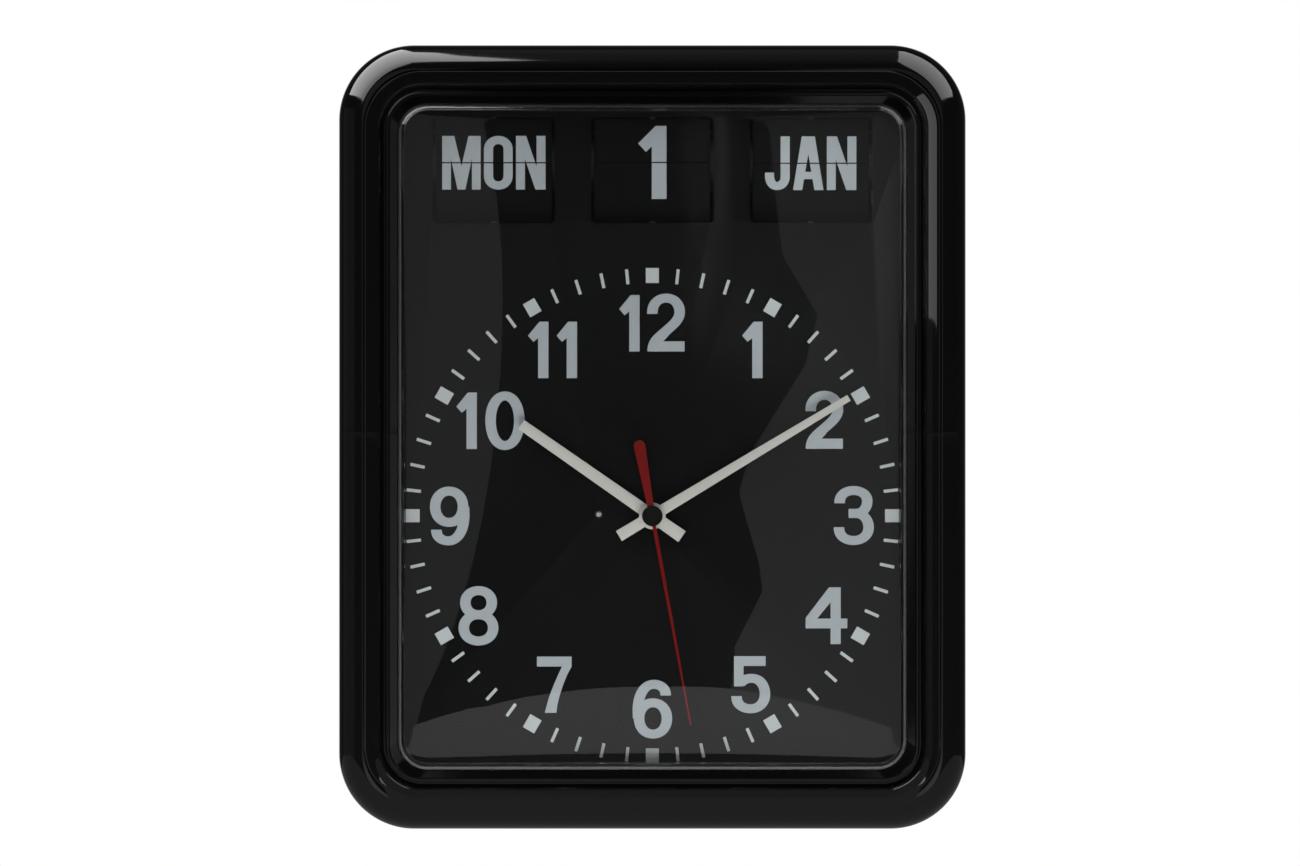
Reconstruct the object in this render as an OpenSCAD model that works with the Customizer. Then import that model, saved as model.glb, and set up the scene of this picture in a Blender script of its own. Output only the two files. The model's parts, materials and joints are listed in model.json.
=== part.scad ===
// Radio-controlled wall clock with an analogue dial and a split-flap calendar.
// The model hangs as on a wall: X to the right, Z up, and the dial faces -Y.
// The wall is the plane y = 0, and the origin is the centre of the round hole in the
// hanger plate. Every piece is drawn flat in the clock's own frame, where x is to the
// right, y is up and z is the distance from the wall, and in_clock() stands it up.

/* [Case] */
// Width of the case
case_w = 320; // [316:1:380]
// Height of the case
case_h = 400; // [400:1:460]
// Depth from the wall to the crown of the bezel
case_d = 88; // [88:1:104]
// Radius of the case's corners seen from the front
case_corner_r = 38.4; // [34:0.2:50]
// Wall thickness of the two case mouldings
case_wall = 3; // [2.4:0.1:3.4]
// Width of the rounded bezel from the outline to the groove
bezel_w = 22.8; // [20:0.2:24]
// Radius of the bezel's outer shoulder
bezel_shoulder_r = 13; // [9:0.5:13]
// Height of the hanger hole below the top of the case
hanger_drop = 28; // [26:1:60]
// Distance from the wall to the rear edge of the front case
parting_d = 14; // [8:1:18]

/* [Lens] */
// Width of the groove, ring and ledge between the bezel and the lens
lens_margin = 7.8; // [6.4:0.2:12]
// Radius of the lens corners seen from the front
lens_corner_r = 15; // [12:0.5:20]
// Thickness of the clear lens
lens_wall = 2.5; // [1.8:0.1:3]
// Depth of the lens face below the crown of the bezel
lens_drop = 4; // [2.5:0.5:8]

/* [Dial] */
// Thickness of the dial plate
dial_t = 1.5; // [1.2:0.1:2]
// Height of the hands' axis below the middle of the case
axis_drop = 40.5; // [36:0.5:46]
// Length of the hour hand from its axis
hour_hand_l = 82; // [60:1:90]
// Length of the minute hand from its axis
minute_hand_l = 117.5; // [90:0.5:125]
// Length of the second hand from its axis
second_hand_l = 108.7; // [80:0.1:122]
// Angle of the hour hand, clockwise from twelve
hour_angle = 304.9; // [0:0.1:360]
// Angle of the minute hand, clockwise from twelve
minute_angle = 59; // [0:0.1:360]
// Angle of the second hand, clockwise from twelve
second_angle = 169.6; // [0:0.1:360]

/* [Calendar] */
// Distance between the middles of neighbouring calendar windows
window_pitch = 81.6; // [81.6:0.1:84]
// Width of a calendar window
window_w = 63.1; // [62.8:0.1:64]
// Height of a calendar window
window_h = 54.9; // [53:0.1:57]
// Height of the windows' middle above the middle of the case
window_rise = 137.4; // [134:0.1:140]
// Height of the split line above the middle of the window
split_rise = 3.9; // [3:0.1:5]
// Width of a leaf without its ears
leaf_w = 59.4; // [56:0.1:59.4]
// Height of a leaf
leaf_h = 22.1; // [20:0.1:22.4]
// Thickness of a leaf
leaf_t = 0.2; // [0.15:0.01:0.22]
// Gap between a falling leaf and the inside of the lens
leaf_sweep_gap = 3.4; // [2:0.1:6]
// Radius of the circle that carries the leaves' ears
ear_circle_r = 14; // [13.5:0.1:14.5]
// Leaves on the weekday drum
day_leaf_count = 28; // [21:7:28]
// Leaves on the date drum
date_leaf_count = 31; // [31]
// Leaves on the month drum
month_leaf_count = 24; // [24]

/* [Movement] */
// Width and height of the movement's housing
movement_w = 70; // [68:1:84]
// Radius of the threaded bush that passes through the dial
bush_r = 4; // [3.8:0.1:4.4]

/* [Rear] */
// Radius of a dry cell, size C
cell_r = 13.1; // [12.8:0.1:13.5]
// Length of a dry cell, size C
cell_l = 50; // [48:0.5:50]
// Height of the cells' axis below the middle of the case
battery_drop = 146; // [142:1:148]
// Radius of the hanger hole
hanger_hole_r = 5; // [4:0.1:5.5]
// Width of the slot above the hanger hole
hanger_slot_w = 4.4; // [3.5:0.1:5]
// Thickness of the steel hanger plate
hanger_plate_t = 1.2; // [1:0.1:1.6]
// Radius of a push button's cap
button_r = 3.5; // [3:0.1:4]
// Travel of a push button
button_travel = 1; // [0.5:0.1:1.2]

/* [Hidden] */
$fn = 64;

// Clearances
fit_gap = 0.05;
slide_gap = 0.1;
seat_gap = 0.1;
press_gap = 0.01;
cover_gap = 0.2;
overlap = 0.02;

// Places in the clock's frame
case_mid_y = hanger_drop - case_h / 2;
axis_y = case_mid_y - axis_drop;
window_y = case_mid_y + window_rise;
split_y = window_y + split_rise;
window_xs = [-window_pitch, 0, window_pitch];
battery_y = case_mid_y - battery_drop;

// Bezel, groove, ring and ledge of the front case
bezel_inner_r = bezel_w - bezel_shoulder_r;
lens_inset = bezel_w + lens_margin;
lens_d = case_d - lens_drop;
groove_corner_r = 20;
groove_w = 1.2;
ring_w = 2;
ledge_d = lens_d - 5;
ring_d = ledge_d + 1;
groove_d = ledge_d - 1.4;
ledge_t = 2.6;
ledge_under_d = ledge_d - ledge_t;
opening_inset = lens_inset - 0.3;

// Dial plate and its bosses; a falling leaf swings out between the dial and the lens
leaf_set_back = dial_t + 2.5;
dial_d = lens_d - lens_wall - leaf_sweep_gap - leaf_h + leaf_set_back;
dial_back_d = dial_d - dial_t;
dial_inset = 13;
boss_inset = 16.5;
boss_r = 3.5;
screw_r = 1.45;
pilot_r = screw_r + fit_gap;
screw_hole_r = screw_r + 0.25;
screw_head_r = 2.9;
screw_head_t = 1.9;
dial_screw_l = 12;
dial_boss_from_side = 70;
dial_boss_rise = 80;
lens_flange_t = 2.4;
lens_flange_inset = lens_inset - 4.1;
lens_edge_r = 3;
dial_rim_t = 2.2;
dial_rim_inset = lens_inset - 1.6;
window_step_w = 1.2;
window_step_t = 0.6;
window_corner_r = 2.6;

// Screws that close the case
case_screw_inset = 17;
case_screw_from_end = 44;
case_boss_r = 4;
case_pillar_r = 5;
case_pillar_d = 30;
case_screw_floor = 2;
case_screw_l = 16;

// Calendar drums
leaf_plane_d = dial_d - leaf_set_back;
drum_d = leaf_plane_d - ear_circle_r;
ear_w = 0.9;
ear_l = 0.9;
leaf_gap = 0.3;
ear_groove_w = 1.3;
ear_groove_deep = ear_l + 0.1;
flange_x = leaf_w / 2 + 0.25;
flange_t = 1.8;
flange_r = ear_circle_r + 1.6;
drum_gear_m = 0.6;
drum_teeth = 48;
pinion_teeth = 12;
drum_gear_t = 1.6;
hub_r = 4;
shaft_r = 1.5;
drum_pinion_dist = (drum_teeth + pinion_teeth) * drum_gear_m / 2;
fan_turn = 200;
fan_power = 1.6;

// Calendar frame between the drums
side_plate_x = flange_x + flange_t + drum_gear_t + 1.4;
side_plate_t = 2;
left_plate_x = -(flange_x + flange_t + 1.25);
motor_r = 8;
motor_t = 8;
motor_bush_r = 2.6;
motor_bush_l = side_plate_t - 0.5;
frame_rear_d = drum_d - 20;
frame_front_d = dial_back_d - 2.4;
bar_t = 3;

// Movement
gear_pressure = 20;
gear_backlash = 0.06;
motion_m = 0.5;
second_m = 0.4;
rotor_m = 0.3;
housing_wall = 1.5;
movement_front_d = dial_back_d - seat_gap;
hour_pipe_r = 2.6;
minute_pipe_r = 1.6;
second_arbor_r = 0.55;
small_arbor_r = 0.4;
nut_t = 2.2;
washer_t = 0.6;
bush_rise = 3.2;
hour_hand_d = dial_d + 4;
minute_hand_d = dial_d + 6.5;
second_hand_d = dial_d + 9;
hand_t = 0.8;
hand_hub_r = 6.8;
cap_r = 5.25;

// Levels inside the movement, as distances behind its front face
front_plate_t = 1.5;
hour_wheel_z = movement_front_d - 3.4;
motion_wheel_z = movement_front_d - 5.1;
minute_pinion_z = movement_front_d - 5.4;
minute_wheel_z = movement_front_d - 8;
middle_plate_z = movement_front_d - 9.4;
second_wheel_z = movement_front_d - 10.8;
train_wheel_z = movement_front_d - 13.2;
rotor_magnet_z = movement_front_d - 16.6;
movement_rear_d = movement_front_d - 19.4;
movement_split_d = movement_front_d - 9;

// Gear train places, as distance and angle from the hands' axis
motion_dist = (10 + 30) * motion_m / 2;
motion_dir = 205;
minute_train_dist = (60 + 10) * motion_m / 2;
minute_train_dir = 130;
second_train_dist = (60 + 10) * second_m / 2;
second_train_dir = -50;
rotor_dist = (50 + 10) * rotor_m / 2;
magnet_r = 3;

// Rear cover, battery bay and buttons
cover_floor_t = 2.5;
cover_inset = case_wall + cover_gap;
cover_deep = parting_d + 6;
bay_half_w = cell_l + 3;
bay_half_h = cell_r + 0.3;
bay_wall = 2;
door_t = 2;
door_out_d = 0.2;
cell_d = door_out_d + door_t + 0.6 + cell_r;
bay_floor_d = cell_d + cell_r + 0.3;
hinge_r = 3;
hinge_d = door_out_d + hinge_r;
hinge_y = battery_y - bay_half_h - bay_wall - hinge_r - 0.5;
hinge_pin_r = 1.2;
hinge_pin_l = 2;
door_half_w = bay_half_w + bay_wall - 1;
door_top_y = battery_y + bay_half_h + bay_wall + 1;
hanger_cup_d = 9;
hanger_cup_w = 22;
hanger_cup_h = 21;
hanger_cup_mid = 2.5;
hanger_plate_w = 34;
hanger_plate_h = 36;
hanger_plate_mid = -3;
hanger_slot_l = 9;
hanger_boss_room = 1.5;
hanger_boss_wall = 1.5;
hanger_screw_room = 0.45;

// Depth of the date leaves' tips where they come nearest the wall, behind the drum
fan_rear_d = min([for (i = [1:date_leaf_count - 1]) leaf_tip_d(date_leaf_count, i)]);
// Height of the hanger's bosses, in whole millimetres clear of those leaves
hanger_boss_d = floor(fan_rear_d - hanger_boss_room);
hanger_pilot_d = hanger_boss_d - hanger_boss_wall;
board_d = 12;
board_t = 1.6;
board_w = 92;
board_h = 58;
board_rise = 42;
board_y = case_mid_y + board_rise;
button_out_d = 0.8;
button_flange_t = 1;
button_stem_r = 1.6;
switch_h = 3.6;
button_pitch = 22;
button_rows = [board_y + 11, board_y - 11];

// Stands a drawing in the clock's frame up against the wall
module in_clock() {
    rotate([90, 0, 0]) children();
}

module at_axis(z = 0) {
    translate([0, axis_y, z]) children();
}

function polar(d, a) = [d * cos(a), d * sin(a)];

// Rectangle with round corners
module rounded_rect(w, h, r) {
    square([w - 2 * r, h], center = true);
    square([w, h - 2 * r], center = true);
    for (sx = [-1, 1], sy = [-1, 1])
        translate([sx * (w / 2 - r), sy * (h / 2 - r)]) circle(r);
}

// Outline of the case moved inward by inset
module case_outline(inset, r) {
    translate([0, case_mid_y])
        rounded_rect(case_w - 2 * inset, case_h - 2 * inset, r);
}

module case_prism(inset, r, z0, z1) {
    translate([0, 0, z0]) linear_extrude(z1 - z0) case_outline(inset, r);
}

// Sweeps a profile round the case outline; its x is the distance from the corner centres
module sweep_outline(inset, r) {
    half_w = case_w / 2 - inset - r;
    half_h = case_h / 2 - inset - r;
    translate([0, case_mid_y, 0]) {
        for (i = [0:3])
            translate([(i == 0 || i == 3 ? 1 : -1) * half_w, (i < 2 ? 1 : -1) * half_h, 0])
                rotate([0, 0, 90 * i])
                    rotate_extrude(angle = 90) children();
        for (side = [0, 1])
            rotate([0, 0, 180 * side]) {
                translate([half_w, half_h, 0]) rotate([90, 0, 0])
                    linear_extrude(2 * half_h) children();
                translate([-half_w, half_h, 0]) rotate([90, 0, 90])
                    linear_extrude(2 * half_w) children();
            }
    }
}

// Block with the case's outline whose front edge is rounded by edge_r
module rounded_block(inset, r, z0, z1, edge_r) {
    case_prism(inset, r, z0, z1 - edge_r);
    case_prism(inset + edge_r, r - edge_r, z1 - edge_r - overlap, z1);
    sweep_outline(inset, r)
        intersection() {
            translate([r - edge_r, z1 - edge_r]) circle(edge_r);
            translate([r - edge_r, z1 - edge_r]) square(edge_r);
        }
}

// Ring between two outlines
module case_ring(inset_out, r_out, inset_in, r_in, z0, z1) {
    translate([0, 0, z0]) linear_extrude(z1 - z0)
        difference() {
            case_outline(inset_out, r_out);
            case_outline(inset_in, r_in);
        }
}

// Boss places
dial_boss_x = case_w / 2 - boss_inset;
dial_boss_y = case_h / 2 - boss_inset;
dial_bosses = [
    for (sx = [-1, 1], sy = [-1, 1])
        [sx * (case_w / 2 - dial_boss_from_side), case_mid_y + sy * dial_boss_y],
    for (sx = [-1, 1], sy = [-1, 1]) [sx * dial_boss_x, case_mid_y + sy * dial_boss_rise]
];
case_bosses = [
    for (sx = [-1, 1], sy = [-1, 0, 1])
        [sx * (case_w / 2 - case_screw_inset),
            case_mid_y + sy * (case_h / 2 - case_screw_from_end)]
];

// Bezel half outside the crown: the shell's outer shoulder and side wall
module outer_shell() {
    difference() {
        rounded_block(0, case_corner_r, parting_d, case_d, bezel_shoulder_r);
        rounded_block(case_wall, case_corner_r - case_wall, parting_d - 1,
            case_d - case_wall, bezel_shoulder_r - case_wall);
        case_prism(bezel_shoulder_r, case_corner_r - bezel_shoulder_r, parting_d, case_d + 1);
    }
}

// Solid below the bezel's inner round, from x outward
module inner_section(x, r) {
    round_d = case_d - bezel_inner_r;
    translate([x + r, round_d]) circle(r);
    translate([x, ledge_under_d - 1]) square([r, round_d - ledge_under_d + 1]);
}

// Bezel half inside the crown: a quarter round that runs down into the inner wall
module inner_shell() {
    crown_x = groove_corner_r + bezel_inner_r;
    sweep_outline(bezel_w, groove_corner_r)
        intersection() {
            difference() {
                inner_section(groove_corner_r, bezel_inner_r);
                inner_section(groove_corner_r + case_wall, bezel_inner_r - case_wall);
            }
            translate([groove_corner_r, ledge_under_d])
                square([bezel_inner_r, case_d - ledge_under_d]);
        }
    // Flat of the crown where the two halves meet round the corners
    case_ring(bezel_shoulder_r - 0.1, case_corner_r - bezel_shoulder_r + 0.1,
        bezel_shoulder_r + 0.1, crown_x - 0.1, case_d - case_wall, case_d);
}

// Groove, raised ring and ledge that hold the lens
module lens_ledge() {
    ring_inset = bezel_w + groove_w;
    ring_r = groove_corner_r - groove_w;
    opening_r = lens_corner_r + lens_inset - opening_inset;
    case_ring(bezel_w - 0.5, groove_corner_r + 0.5, opening_inset, opening_r,
        ledge_under_d, groove_d);
    case_ring(ring_inset, ring_r, opening_inset, opening_r, groove_d - overlap, ledge_d);
    case_ring(ring_inset, ring_r, ring_inset + ring_w, ring_r - ring_w,
        ledge_d - overlap, ring_d);
}

// Front case: the bezel's two halves, the ledge and the bosses behind them
module front_case() {
    boss_top = case_d - case_wall - 1.5;
    color("#0d0d0e") in_clock() difference() {
        union() {
            outer_shell();
            inner_shell();
            lens_ledge();
            for (p = dial_bosses) translate([p[0], p[1], dial_d + seat_gap])
                cylinder(r = boss_r, h = boss_top - dial_d - seat_gap);
            for (p = case_bosses) translate([p[0], p[1], case_pillar_d + seat_gap])
                cylinder(r = case_boss_r, h = boss_top - case_pillar_d - seat_gap);
        }
        for (p = dial_bosses)
            translate([p[0], p[1], dial_d]) cylinder(r = pilot_r, h = dial_screw_l + 1);
        for (p = case_bosses)
            translate([p[0], p[1], case_pillar_d]) cylinder(r = pilot_r, h = case_screw_l);
    }
}

// Clear lens: a tray with a flange that sits behind the ledge
module window_lens() {
    flange_top = ledge_under_d - seat_gap;
    inner_inset = lens_inset + lens_wall;
    inner_r = lens_corner_r - lens_wall;
    flange_r = lens_corner_r + lens_inset - lens_flange_inset;
    color("#dfe6ea", 0.35) in_clock() difference() {
        union() {
            rounded_block(lens_inset, lens_corner_r, flange_top - lens_flange_t, lens_d,
                lens_edge_r);
            case_prism(lens_flange_inset, flange_r, flange_top - lens_flange_t, flange_top);
        }
        rounded_block(inner_inset, inner_r, flange_top - lens_flange_t - 1,
            lens_d - lens_wall, 1.5);
    }
}

// Dial: a flat plate with three windows and a rim that carries the lens
module dial_plate() {
    rim_top = ledge_under_d - seat_gap - lens_flange_t - seat_gap;
    color("#101112") in_clock() difference() {
        union() {
            case_prism(dial_inset, case_corner_r - dial_inset, dial_back_d, dial_d);
            case_ring(dial_rim_inset, lens_corner_r + lens_inset - dial_rim_inset,
                dial_rim_inset + dial_rim_t,
                lens_corner_r + lens_inset - dial_rim_inset - dial_rim_t,
                dial_d - overlap, rim_top);
            for (p = calendar_feet)
                translate([p[0], p[1], frame_front_d + seat_gap])
                    cylinder(r = boss_r, h = dial_back_d - frame_front_d);
            for (x = antenna_clip_xs) translate([x, antenna_y, 0]) antenna_clip();
        }
        for (x = window_xs) translate([x, window_y, dial_back_d - 1]) {
            linear_extrude(dial_t + 2) rounded_rect(window_w, window_h, window_corner_r);
            translate([0, 0, dial_t + 1 - window_step_t]) linear_extrude(2)
                rounded_rect(window_w + 2 * window_step_w, window_h + 2 * window_step_w,
                    window_corner_r + window_step_w);
        }
        at_axis(dial_back_d - 1) cylinder(r = bush_r + slide_gap, h = dial_t + 2);
        at_axis(dial_back_d - 1) translate([led_x, led_y]) cylinder(r = 2.3, h = dial_t + 2);
        for (p = dial_bosses)
            translate([p[0], p[1], dial_back_d - 1]) cylinder(r = screw_hole_r, h = dial_t + 2);
        for (p = case_bosses)
            translate([p[0], p[1], dial_back_d - 1])
                cylinder(r = case_boss_r + 0.3, h = dial_t + 2);
        for (p = calendar_feet)
            translate([p[0], p[1], frame_front_d]) cylinder(r = 1.25, h = 3.2);
    }
}

// Screw with a pan head, drawn with its tip towards +z and its head below z = 0
module pan_screw(r, l, head_r, head_t) {
    cylinder(r = r, h = l);
    difference() {
        translate([0, 0, -head_t]) cylinder(r1 = head_r - 0.7, r2 = head_r, h = head_t);
        translate([0, 0, -head_t - 0.1]) linear_extrude(1) {
            square([head_r * 1.2, 0.7], center = true);
            square([0.7, head_r * 1.2], center = true);
        }
    }
}

module dial_screws() {
    color("#8d8f92") in_clock()
        for (p = dial_bosses)
            translate([p[0], p[1], dial_back_d]) pan_screw(screw_r, dial_screw_l,
                screw_head_r, screw_head_t);
}

// Rear cover: a shallow tray with the battery bay, hanger cup, button holes and pillars
module rear_cover() {
    inner_inset = cover_inset + cover_floor_t;
    color("#141415") in_clock() difference() {
        union() {
            difference() {
                cover_block(cover_inset, 0, cover_deep, 6);
                cover_block(inner_inset, cover_floor_t, cover_deep + 1, 3.5);
            }
            for (p = case_bosses)
                translate([p[0], p[1], 0.5]) cylinder(r = case_pillar_r, h = case_pillar_d - 0.5);
            battery_bay_shell();
            translate([0, hanger_cup_mid, 1])
                linear_extrude(hanger_cup_d + bay_wall - 1)
                    rounded_rect(hanger_cup_w + 2 * bay_wall, hanger_cup_h + 2 * bay_wall, 5);
            for (p = hanger_screw_places)
                translate([p[0], p[1], 1]) cylinder(r = 3.2, h = hanger_boss_d - 1);
            for (p = board_screw_places)
                translate([p[0], p[1], 1]) cylinder(r = 3.2, h = board_d - 1);
        }
        for (p = case_bosses) translate([p[0], p[1], -1]) {
            cylinder(r = screw_hole_r, h = case_pillar_d + 2);
            cylinder(r = screw_head_r + 0.5, h = case_pillar_d - case_screw_floor + 1);
        }
        battery_bay_cuts();
        translate([0, hanger_plate_mid, -1]) linear_extrude(hanger_plate_t + 1.1)
            rounded_rect(hanger_plate_w + 0.4, hanger_plate_h + 0.4, 3.2);
        translate([0, hanger_cup_mid, -1]) linear_extrude(hanger_cup_d + 1)
            rounded_rect(hanger_cup_w, hanger_cup_h, 3);
        for (p = hanger_screw_places)
            translate([p[0], p[1], 0]) cylinder(r = 1.25, h = hanger_pilot_d);
        for (p = board_screw_places)
            translate([p[0], p[1], 4]) cylinder(r = 1.25, h = board_d);
        for (p = button_places)
            translate([p[0], p[1], -1]) cylinder(r = button_r + slide_gap, h = 8);
    }
}

// Block with a rounded rear edge, for the rear cover
module cover_block(inset, z0, z1, edge_r) {
    corner = case_corner_r - inset;
    case_prism(inset, corner, z0 + edge_r, z1);
    case_prism(inset + edge_r, corner - edge_r, z0, z0 + edge_r + overlap);
    sweep_outline(inset, corner)
        intersection() {
            translate([corner - edge_r, z0 + edge_r]) circle(edge_r);
            translate([corner - edge_r, z0]) square(edge_r);
        }
}

// Battery bay in the rear cover
bay_out_w = bay_half_w + bay_wall;
bay_out_h = bay_half_h + bay_wall;
hinge_block_w = 5;

module battery_bay_shell() {
    translate([-bay_out_w, battery_y - bay_out_h, 1])
        cube([2 * bay_out_w, 2 * bay_out_h, bay_floor_d + bay_wall - 1]);
    // Blocks that hold the pins of the door
    for (s = [-1, 1])
        translate([s * (door_half_w + hinge_block_w / 2 + cover_gap), hinge_y, 4])
            cube([hinge_block_w, 2 * hinge_r + 1, 6], center = true);
}

module battery_bay_cuts() {
    translate([-bay_half_w, battery_y - bay_half_h, -1])
        cube([2 * bay_half_w, 2 * bay_half_h, bay_floor_d + 1]);
    // Opening that the door closes
    translate([-door_half_w - cover_gap, hinge_y - hinge_r - cover_gap, -1])
        cube([2 * (door_half_w + cover_gap), door_top_y + cover_gap - hinge_y + hinge_r
            + cover_gap, door_out_d + door_t + 1.2]);
    // Room for the door's hinge barrel
    translate([-door_half_w - cover_gap, hinge_y - hinge_r - cover_gap, -1])
        cube([2 * (door_half_w + cover_gap), 2 * hinge_r + 2 * cover_gap,
            hinge_d + hinge_r + cover_gap + 1]);
    translate([-door_half_w - hinge_pin_l - 0.5, hinge_y, hinge_d]) rotate([0, 90, 0])
        cylinder(r = hinge_pin_r + fit_gap, h = 2 * (door_half_w + hinge_pin_l + 0.5));
    // Finger scoop above the door
    translate([0, door_top_y + 2, -4]) sphere(r = 8);
}

module battery_door() {
    color("#171718") in_clock() {
        difference() {
            union() {
                translate([-door_half_w, hinge_y, hinge_d]) rotate([0, 90, 0])
                    cylinder(r = hinge_r, h = 2 * door_half_w);
                translate([-door_half_w, hinge_y, door_out_d])
                    cube([2 * door_half_w, door_top_y - hinge_y, door_t]);
                for (x = [-32, 0, 32]) translate([x - 6, door_top_y - 5.6, door_out_d + 1])
                    cube([12, 1.4, 4.6]);
            }
            // Lightening groove along the barrel's inner side
            translate([-door_half_w + 4, hinge_y - 1, hinge_d + 1.6])
                cube([2 * door_half_w - 8, 2, 3]);
            for (i = [0:4]) translate([0, door_top_y - 6 - 3 * i, door_out_d - 0.6])
                cube([20 - 2 * i, 1, 2], center = true);
        }
        for (s = [-1, 1]) translate([s * (door_half_w + hinge_pin_l / 2 - overlap / 2),
            hinge_y, hinge_d]) rotate([0, 90, 0])
            cylinder(r = hinge_pin_r, h = hinge_pin_l + overlap, center = true);
    }
}

// One dry cell lying along x, its button end towards +x
module dry_cell() {
    rotate([0, 90, 0]) {
        translate([0, 0, -cell_l / 2]) cylinder(r = cell_r, h = cell_l - 2);
        translate([0, 0, cell_l / 2 - 2 - overlap]) cylinder(r = 3.3, h = 2 + overlap);
    }
}

module battery_cells() {
    color("#3c4046") in_clock()
        for (s = [-1, 1])
            translate([s * (cell_l / 2 + 0.05) - 0.6, battery_y, cell_d]) dry_cell();
}

module battery_contacts() {
    plate_h = 18;
    coil_r = 4.5;
    spring_l = bay_half_w - 0.35 - 0.6 - (cell_l + 0.05);
    color("#c9ccd0") in_clock() {
        // Flat contact at the button end
        translate([bay_half_w - 0.45, battery_y - plate_h / 2, cell_d - 9])
            cube([0.4, plate_h, 18]);
        translate([cell_l + 0.05 - 0.6 + 0.05, battery_y, cell_d]) rotate([0, 90, 0])
            cylinder(r = 3, h = bay_half_w - 0.45 - cell_l + 0.5 + overlap);
        // Plate and spring turns at the flat end
        translate([-bay_half_w + 0.05, battery_y - plate_h / 2, cell_d - 9])
            cube([0.4, plate_h, 18]);
        translate([-bay_half_w + 0.4, battery_y, cell_d]) rotate([0, 90, 0])
            difference() {
                cylinder(r = coil_r, h = spring_l - 0.2);
                translate([0, 0, -1]) cylinder(r = coil_r - 0.7, h = spring_l + 2);
            }
    }
}

// Screws that hold the two halves of the case together
module case_screws() {
    color("#8d8f92") in_clock()
        for (p = case_bosses)
            translate([p[0], p[1], case_pillar_d - case_screw_floor])
                pan_screw(screw_r, case_screw_l, screw_head_r, 2);
}

// Steel plate with the keyhole that the clock hangs from
hanger_screw_places = [for (s = [-1, 1]) [s * 14, hanger_plate_mid - 12]];

module hanger_plate() {
    color("#b9bcbf") in_clock() translate([0, 0, 0]) difference() {
        translate([0, hanger_plate_mid, 0]) linear_extrude(hanger_plate_t)
            rounded_rect(hanger_plate_w, hanger_plate_h, 3);
        translate([0, 0, -1]) linear_extrude(hanger_plate_t + 2) {
            circle(hanger_hole_r);
            translate([-hanger_slot_w / 2, 0]) square([hanger_slot_w, hanger_slot_l]);
            translate([0, hanger_slot_l]) circle(hanger_slot_w / 2);
        }
        for (p = hanger_screw_places) translate([p[0], p[1], -1]) {
            cylinder(r = 1.35, h = hanger_plate_t + 2);
            translate([0, 0, 0.9]) cylinder(r1 = 2.7, r2 = 1.35, h = 1);
        }
    }
}

module hanger_screws() {
    color("#8d8f92") in_clock()
        for (p = hanger_screw_places) translate([p[0], p[1], 0]) {
            translate([0, 0, 0.05])
                cylinder(r = 1.2, h = hanger_pilot_d - hanger_screw_room - 0.05);
            difference() {
                translate([0, 0, 0.02]) cylinder(r1 = 2.5, r2 = 1.2, h = 0.9);
                translate([0, 0, -0.5]) linear_extrude(1) square([4, 0.6], center = true);
            }
        }
}

// Main board with its switches
board_screw_places = [
    for (sx = [-1, 1], sy = [-1, 1])
        [sx * (board_w / 2 - 5), board_y + sy * (board_h / 2 - 5)]
];
button_places = [
    for (row = button_rows, i = [-1, 0, 1]) [i * button_pitch, row]
];

module main_board() {
    color("#2c5a38") in_clock() {
        difference() {
            translate([0, board_y, board_d]) linear_extrude(board_t)
                rounded_rect(board_w, board_h, 2);
            for (p = board_screw_places)
                translate([p[0], p[1], board_d - 1]) cylinder(r = 1.4, h = board_t + 2);
        }
        // Controller chip, crystal, capacitor and connectors on the front side
        translate([-30, board_y - 6, board_d + board_t - overlap]) cube([14, 14, 2]);
        translate([-8, board_y + 12, board_d + board_t - overlap]) cube([11, 4.6, 3.6]);
        translate([14, board_y + 2, board_d + board_t - overlap]) cylinder(r = 4, h = 9);
        for (i = [0:2])
            translate([-26 + 20 * i, board_y - board_h / 2 + 4, board_d + board_t - overlap])
                cube([12, 5.8, 6]);
        translate([26, board_y - 4, board_d + board_t - overlap]) cube([10, 12, 1.6]);
    }
}

module board_screws() {
    color("#8d8f92") in_clock()
        for (p = board_screw_places)
            translate([p[0], p[1], board_d + board_t]) mirror([0, 0, 1])
                pan_screw(1.2, 7, 2.4, 1.6);
}

module tact_switches() {
    color("#26272a") in_clock()
        for (p = button_places)
            translate([p[0], p[1], board_d - switch_h]) difference() {
                translate([-3, -3, 0]) cube([6, 6, switch_h]);
                translate([0, 0, -1]) cylinder(r = button_stem_r + slide_gap,
                    h = button_travel + 1.6);
            }
}

// Push button: a cap in the cover's hole, a flange inside and a stem into the switch
module push_button(x, y) {
    flange_z = cover_floor_t + seat_gap;
    stem_end = board_d - switch_h + 0.4;
    in_clock() translate([x, y, 0]) difference() {
        union() {
            translate([0, 0, button_out_d])
                cylinder(r = button_r, h = flange_z - button_out_d + overlap);
            translate([0, 0, flange_z]) cylinder(r = button_r + 1, h = button_flange_t);
            translate([0, 0, flange_z]) cylinder(r = button_stem_r, h = stem_end - flange_z);
        }
        translate([0, 0, button_out_d - 5.7]) sphere(r = 6);
    }
}

module day_set_button() {
    color("#c3c6c9") push_button(button_places[0][0], button_places[0][1]);
}

module date_set_button() {
    color("#c3c6c9") push_button(button_places[1][0], button_places[1][1]);
}

module month_set_button() {
    color("#c3c6c9") push_button(button_places[2][0], button_places[2][1]);
}

module receive_button() {
    color("#9aa0a6") push_button(button_places[3][0], button_places[3][1]);
}

module time_set_button() {
    color("#9aa0a6") push_button(button_places[4][0], button_places[4][1]);
}

module reset_button() {
    color("#9aa0a6") push_button(button_places[5][0], button_places[5][1]);
}

// Involute gears

function inv(a) = tan(a) * 180 / PI - a;
function gear_half(r, n, m, backlash) =
    let (rp = n * m / 2, rb = rp * cos(gear_pressure),
        at_pitch = 90 / n - backlash / (2 * rp) * 180 / PI)
    at_pitch + inv(gear_pressure) - (r > rb ? inv(acos(rb / r)) : 0);

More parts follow.
